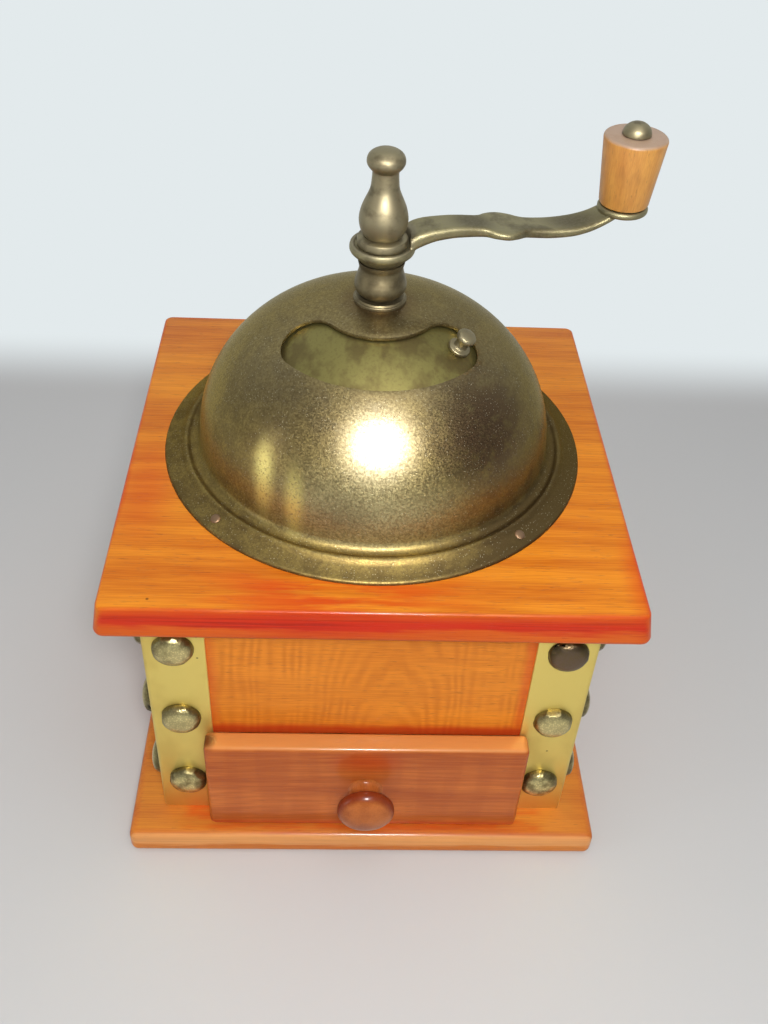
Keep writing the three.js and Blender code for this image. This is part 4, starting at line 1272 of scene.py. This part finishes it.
class GRINDER_OT_crank(GrinderStep, bpy.types.Operator):
    """Cast the crank arm and turn its sleeve and nut"""

    bl_idname = "grinder.crank"
    bl_label = "Crank"

    # The arm's stations from root to tip: shares of its length, rise, width and thickness
    stations = [
        (0, 0.5, 1.05, 1.42), (0.03, 0.74, 1.08, 1.34), (0.064, 0.87, 1.1, 1.24), (0.1, 0.94, 1.08, 1.12),
        (0.137, 0.97, 1.05, 1.04), (0.198, 1, 1, 1), (0.259, 0.97, 0.96, 0.98), (0.32, 0.89, 0.97, 0.9),
        (0.35, 0.84, 1.1, 0.82), (0.381, 0.78, 1.4, 0.74), (0.436, 0.71, 1.6, 0.7),
        (0.491, 0.66, 1.36, 0.72), (0.529, 0.62, 1.03, 0.8), (0.569, 0.56, 0.94, 0.84),
        (0.655, 0.48, 0.97, 0.84), (0.747, 0.49, 1.04, 0.78), (0.813, 0.6, 1.03, 0.72),
        (0.867, 0.79, 1, 0.68), (0.922, 1.08, 0.97, 0.62), (0.96, 1.22, 0.87, 0.45)]
    arm_root = 7
    arm_length = 65.6
    arm_rise = 5.3
    arm_width = 9.8
    arm_thickness = 3.5
    arm_rounding = 0.3
    arm_turn = math.radians(12)
    pin_circle = 72.6

    hub_foot = 184.8
    hub_top = 190.0
    hub_radius = 9.45
    hub_shares = [(0.69, 0), (0.72, 0.1), (0.9, 0.42), (1, 0.62), (1, 0.85), (0.97, 1)]
    recess_floor = 189.3
    recess_radius = 8.0
    recess_lip = 8.3
    recess_cut = (recess_floor, 199)
    shaft_cut = (180, 189.2)
    pin_cut = (190, 200)
    disc = [(PIN_BORE, 195.1), (6.9, 195.1), (7.5, 195.6), (7.5, 196.6), (7.0, 197.1), (PIN_BORE, 197.1),
            (PIN_BORE, 195.1)]

    sleeve_radius = 7.7
    sleeve_shares = [
        (0.73, 0), (0.86, 0.08), (0.96, 0.17), (1, 0.29), (0.98, 0.42), (0.92, 0.56), (0.86, 0.7),
        (0.84, 0.82), (0.87, 0.9), (0.9, 1)]

    nut_radius = 7.05
    nut_thread = 3.0
    nut_thread_depth = 12
    nut_foot = [(0.98, 0), (1.045, 0.015), (1.045, 0.075), (1.02, 0.09), (0.95, 0.098)]
    nut_vase = [
        (0.74, 0.105), (0.87, 0.145), (0.96, 0.205), (1, 0.285), (0.95, 0.367), (0.844, 0.446),
        (0.61, 0.58), (0.55, 0.67), (0.528, 0.765), (0.548, 0.785), (0.62, 0.803), (0.7, 0.828),
        (0.752, 0.853), (0.766, 0.88), (0.74, 0.915), (0.66, 0.947), (0.5, 0.975), (0.3, 0.993), (0, 1)]

    def execute(self, context):
        self.cast_arm()
        self.turn_sleeve()
        self.turn_nut()
        return {"FINISHED"}

    def sections(self):
        """Place, level, width and thickness of the arm's sections, in millimetres."""
        for along, up, wide, thick in flowing(self.stations, 3):
            thickness = thick * self.arm_thickness
            level = self.hub_top + up * self.arm_rise - thickness / 2
            yield self.arm_root + along * self.arm_length, level, wide * self.arm_width, thickness

    def draw_arm(self):
        """Draw the arm out of one rounded section, station by station, and close its root."""
        sections = list(self.sections())
        x, z, width, thickness = sections[0]
        clear_selection()
        bpy.ops.mesh.primitive_plane_add(size=MM, rotation=(0, math.pi / 2, 0))
        arm = new_piece("crank_arm_cast")
        apply_place(arm)
        edit(arm)
        select_all()
        bpy.ops.transform.resize(value=(1, width, thickness), center_override=(0, 0, 0))
        bpy.ops.mesh.bevel(offset=self.arm_rounding * thickness * MM, segments=3, affect="VERTICES")
        bpy.ops.transform.translate(value=Vector((x, 0, z)) * MM)
        for now, then in zip(sections, sections[1:]):
            extrude_by(Vector((then[0] - now[0], 0, then[1] - now[1])))
            bpy.ops.transform.resize(value=(1, then[2] / now[2], then[3] / now[3]),
                                     center_override=Vector((then[0], 0, then[1])) * MM)
        close_mesh()
        edit(arm)
        bpy.ops.mesh.select_non_manifold(extend=False)
        bpy.ops.mesh.edge_face_add()
        close_mesh()
        return arm

    def turn_hub(self):
        """The ring at the arm's root, with a recess in its top."""
        shares = flowing(self.hub_shares, 3)
        rim = sized(shares, self.hub_radius, self.hub_foot, self.hub_top - self.hub_foot)
        recess = [(self.recess_lip, self.hub_top), (self.recess_radius, self.recess_floor)]
        bore = [(SHAFT_BORE, self.recess_floor), (SHAFT_BORE, self.hub_foot)]
        return turned("hub", [(SHAFT_BORE, self.hub_foot), *rim, *recess, *bore])

    def cast_arm(self):
        """Join the hub, the arm and the end disc and melt them into one casting."""
        hub = self.turn_hub()
        arm = self.draw_arm()
        carve(arm, cylinder("recess_cutter", self.recess_radius, *self.recess_cut))
        disc = turned("disc", self.disc)
        stand(disc, moved(self.pin_circle, 0, 0))
        carve(arm, hub, "UNION")
        carve(arm, disc, "UNION")
        self.bore(arm)
        apply_modifier(arm, "REMESH", mode="VOXEL", voxel_size=sizes().cast_grain, adaptivity=0)
        apply_modifier(arm, "SMOOTH", factor=0.5, iterations=3)
        stand(arm, Matrix.Rotation(self.arm_turn, 4, "Z"))
        bpy.ops.object.shade_smooth()
        hand_over(arm, cast_finish(), "cast_brass", "crank", "crank_arm")

    def bore(self, arm):
        """Bore the holes of the spindle and of the handle's pin."""
        carve(arm, cylinder("spindle_bore", SHAFT_BORE, *self.shaft_cut))
        pin = cylinder("pin_bore", PIN_BORE, *self.pin_cut)
        stand(pin, moved(self.pin_circle, 0, 0))
        carve(arm, pin)

    def turn_sleeve(self):
        """Turn the ball with its neck that stands below the crank."""
        start, end = low("crank_sleeve").z, high("crank_sleeve").z
        line = flowing(sized(self.sleeve_shares, self.sleeve_radius, start, end - start))
        sleeve = turned("crank_sleeve_turned", [(SHAFT_BORE, start), *line, (SHAFT_BORE, end),
                                                (SHAFT_BORE, start)])
        smooth(sleeve, 40)
        bronze = turned_finish("sleeve_bronze", metals().sleeve, 171, 0.1)
        hand_over(sleeve, bronze, "turned_bronze", "crank", "crank_sleeve")

    def turn_nut(self):
        """Turn the nut that holds the crank, a vase with a button on top."""
        start, end = low("finial_nut").z, high("finial_nut").z
        foot, vase = (sized(shares, self.nut_radius, start, end - start)
                      for shares in (self.nut_foot, self.nut_vase))
        thread = [(0, start + self.nut_thread_depth), (self.nut_thread, start + self.nut_thread_depth),
                  (self.nut_thread, start)]
        nut = turned("finial_nut_turned", [*thread, *foot, *flowing(vase, 3)])
        smooth(nut, 40)
        bronze = turned_finish("nut_bronze", metals().bronze, 181, 0.2)
        hand_over(nut, bronze, "turned_bronze", "crank", "finial_nut")


class GRINDER_OT_handle(GrinderStep, bpy.types.Operator):
    """Turn the crank's handle and its pin"""

    bl_idname = "grinder.handle"
    bl_label = "Handle"

    wide = 9.22
    narrow = 7.35
    shoulder = 1.0
    foot = [(-0.9, 0), (-0.3, 0.25), (0, 0.9)]
    dish = 4.6
    shaft = 2.0
    pin_foot = [(0, 0), (2.1, 0), (2.5, 0.3), (2.5, 1.1), (shaft, 1.1)]
    cap_foot = -3.5
    cap = [(4.15, cap_foot), (4.1, -2.9), (3.75, -1.85), (2.95, -0.95), (1.7, -0.25), (0, 0)]

    def execute(self, context):
        centre = middle("crank_handle")
        place = moved(centre.x, centre.y, 0)
        self.turn_grip(place)
        self.turn_pin(place)
        return {"FINISHED"}

    def turn_grip(self, place):
        """Turn the wooden grip, wider and rounded at its top."""
        start, end = low("crank_handle").z, high("crank_handle").z
        foot = [(self.narrow + out, start + rise) for out, rise in self.foot]
        shoulder = arc((self.wide - self.shoulder, end - self.shoulder), self.shoulder, 0, math.pi / 2, 6)
        bore = [(self.dish, end), (PIN_BORE, end), (PIN_BORE, start)]
        handle = turned("crank_handle_turned", [(PIN_BORE, start), *foot, *shoulder, *bore])
        stand(handle, place)
        smooth(handle, 40)
        hand_over(handle, handle_finish(), "handle_wood", "handle", "crank_handle")

    def turn_pin(self, place):
        """Turn the pin with its foot and its domed cap."""
        start, end = low("handle_pin").z, high("handle_pin").z
        foot = [(radius, start + rise) for radius, rise in self.pin_foot]
        cap = flowing([(radius, end + rise) for radius, rise in self.cap])
        pin = turned("handle_pin_turned", [*foot, (self.shaft, end + self.cap_foot), *cap])
        stand(pin, place)
        smooth(pin, 40)
        brass = turned_finish("pin_brass", metals().bronze, 191, 0.1)
        hand_over(pin, brass, "cast_brass", "crank", "handle_pin")


class GRINDER_OT_stage(GrinderStep, bpy.types.Operator):
    """Lay the floor and set the lamps and the camera"""

    bl_idname = "grinder.stage"
    bl_label = "Stage"

    # The floor in metres, and where it fades in millimetres, behind and all round
    floor_size = 12
    fade_behind = (190, 250)
    fade_round = (420, 700)

    # Each lamp's name, its place and the level it is aimed at, and its size in metres
    lamps = [
        ("flash", (20, -400, 470), 110, (0.1, 0.1)),
        ("glint", (20, -400, 470), 110, (0.07, 0.09)),
        ("window", (-977, -358, 260), 130, (0.15, 0.7)),
        ("ceiling", (150, -250, 1250), 60, (0.9, 0.9))]

    # The camera's place and its sensor's width in millimetres, and its angles in radians
    camera_place = (-11.793, -283.046, 335.559)
    camera_yaw = 0.0595
    camera_pitch = 0.7188
    camera_roll = 0.0601
    sensor = 36

    def execute(self, context):
        stage = context.scene.grinder_stage
        self.lay_floor(stage)
        self.light_room(stage)
        for name, place, aim, size in self.lamps:
            lamp = self.hang_lamp(f"{name}_lamp", place, aim, size, getattr(stage, f"{name}_power"))
            lamp.visible_diffuse = name != "glint"
        self.set_camera(stage)
        return {"FINISHED"}

    def lay_floor(self, stage):
        """Lay a pale floor that fades to white far from the grinder."""
        clear_selection()
        bpy.ops.mesh.primitive_plane_add(size=self.floor_size)
        floor = new_piece("floor")
        edit(floor)
        select_all()
        bpy.ops.mesh.subdivide(number_cuts=3)
        leave_edit()
        finish = Finish("floor_plain", stage.floor)
        finish.lay(finish.noise(300, 5) * 0.05, darker(stage.floor, 0.9))
        near = finish.shader(roughness=0.75)
        white = finish.node("ShaderNodeEmission", None, {"Color": stage.backdrop, "Strength": 1.0})
        seen = finish.ray("Camera").larger(finish.ray("Glossy"))
        behind = finish.step(finish.along("Y"), *self.fade_behind)
        far = behind.larger(finish.step(finish.radius(), *self.fade_round))
        floor.data.materials.append(finish.close(finish.blend(far * seen, near, white)))

    def light_room(self, stage):
        """Light the room evenly, with a white wall behind the grinder that only gloss shows."""
        world = bpy.data.worlds.new("pale_room")
        bpy.context.scene.world = world
        room = Finish("pale_room", room=world)
        way = room.node("ShaderNodeTexCoord", out="Generated")
        behind, above = (room.node("ShaderNodeSeparateXYZ", None, {0: way}, axis) for axis in "YZ")
        wall = room.step(behind + above * 0.4, -0.1, 0.8)
        even, dim, white = (
            room.node("ShaderNodeBackground", None, {"Color": tone, "Strength": light})
            for tone, light in ((stage.sky, stage.room_light), (stage.sky, stage.gloss_light),
                                (stage.backdrop, 1.0)))
        lit = room.blend(room.ray("Glossy"), even, room.blend(wall, dim, white))
        room.close(room.blend(room.ray("Camera"), lit, white), "ShaderNodeOutputWorld")

    def hang_lamp(self, name, place, aim, size, energy):
        """Hang an ellipse of light, aimed at a level of the spindle's axis in millimetres."""
        clear_selection()
        bpy.ops.object.light_add(type="AREA", location=Vector(place) * MM)
        lamp = new_piece(name)
        lamp.data.shape = "ELLIPSE"
        lamp.data.size, lamp.data.size_y = size
        lamp.data.energy = energy
        away = Vector(place) - Vector((0, 0, aim))
        lamp.rotation_euler = away.to_track_quat("Z", "Y").to_euler()
        return lamp

    def set_camera(self, stage):
        """Stand the camera where the grinder is seen from above its front."""
        clear_selection()
        bpy.ops.object.camera_add()
        camera = bpy.context.object
        yaw, pitch, roll = self.camera_yaw, self.camera_pitch, self.camera_roll
        ahead = Vector((math.sin(yaw) * math.cos(pitch), math.cos(yaw) * math.cos(pitch), -math.sin(pitch)))
        level = Vector((math.cos(yaw), -math.sin(yaw), 0))
        above = level.cross(ahead)
        right = math.cos(roll) * level + math.sin(roll) * above
        upward = math.cos(roll) * above - math.sin(roll) * level
        turn = Matrix((right, upward, -ahead)).transposed().to_4x4()
        camera.matrix_world = moved(*self.camera_place) @ turn
        camera.data.sensor_width = self.sensor
        camera.data.lens = stage.lens
        camera.data.clip_start = 0.01
        bpy.context.scene.camera = camera
        bpy.context.scene.view_settings.view_transform = "Standard"


class GRINDER_PT_panel(bpy.types.Panel):
    """The grinder's steps in the sidebar"""

    bl_idname = "GRINDER_PT_panel"
    bl_label = "Coffee Grinder"
    bl_space_type = "VIEW_3D"
    bl_region_type = "UI"
    bl_category = "Grinder"

    def draw(self, context):
        for step in STEPS:
            self.layout.operator(step.bl_idname)


GROUPS = {"grinder_woods": GrinderWoods, "grinder_metals": GrinderMetals, "grinder_sizes": GrinderSizes,
          "grinder_stage": GrinderStage}
STEPS = [GRINDER_OT_boards, GRINDER_OT_case, GRINDER_OT_studs, GRINDER_OT_drawer, GRINDER_OT_dome,
         GRINDER_OT_door, GRINDER_OT_mill, GRINDER_OT_crank, GRINDER_OT_handle, GRINDER_OT_stage]


def register():
    for kind in [*GROUPS.values(), *STEPS, GRINDER_PT_panel]:
        bpy.utils.register_class(kind)
    for name, group in GROUPS.items():
        setattr(bpy.types.Scene, name, PointerProperty(type=group))


def unregister():
    for name in GROUPS:
        delattr(bpy.types.Scene, name)
    for kind in [GRINDER_PT_panel, *reversed(STEPS), *reversed(list(GROUPS.values()))]:
        bpy.utils.unregister_class(kind)


def main():
    register()
    for step in STEPS:
        group, name = step.bl_idname.split(".")
        getattr(getattr(bpy.ops, group), name)()


if __name__ == "__main__":
    main()
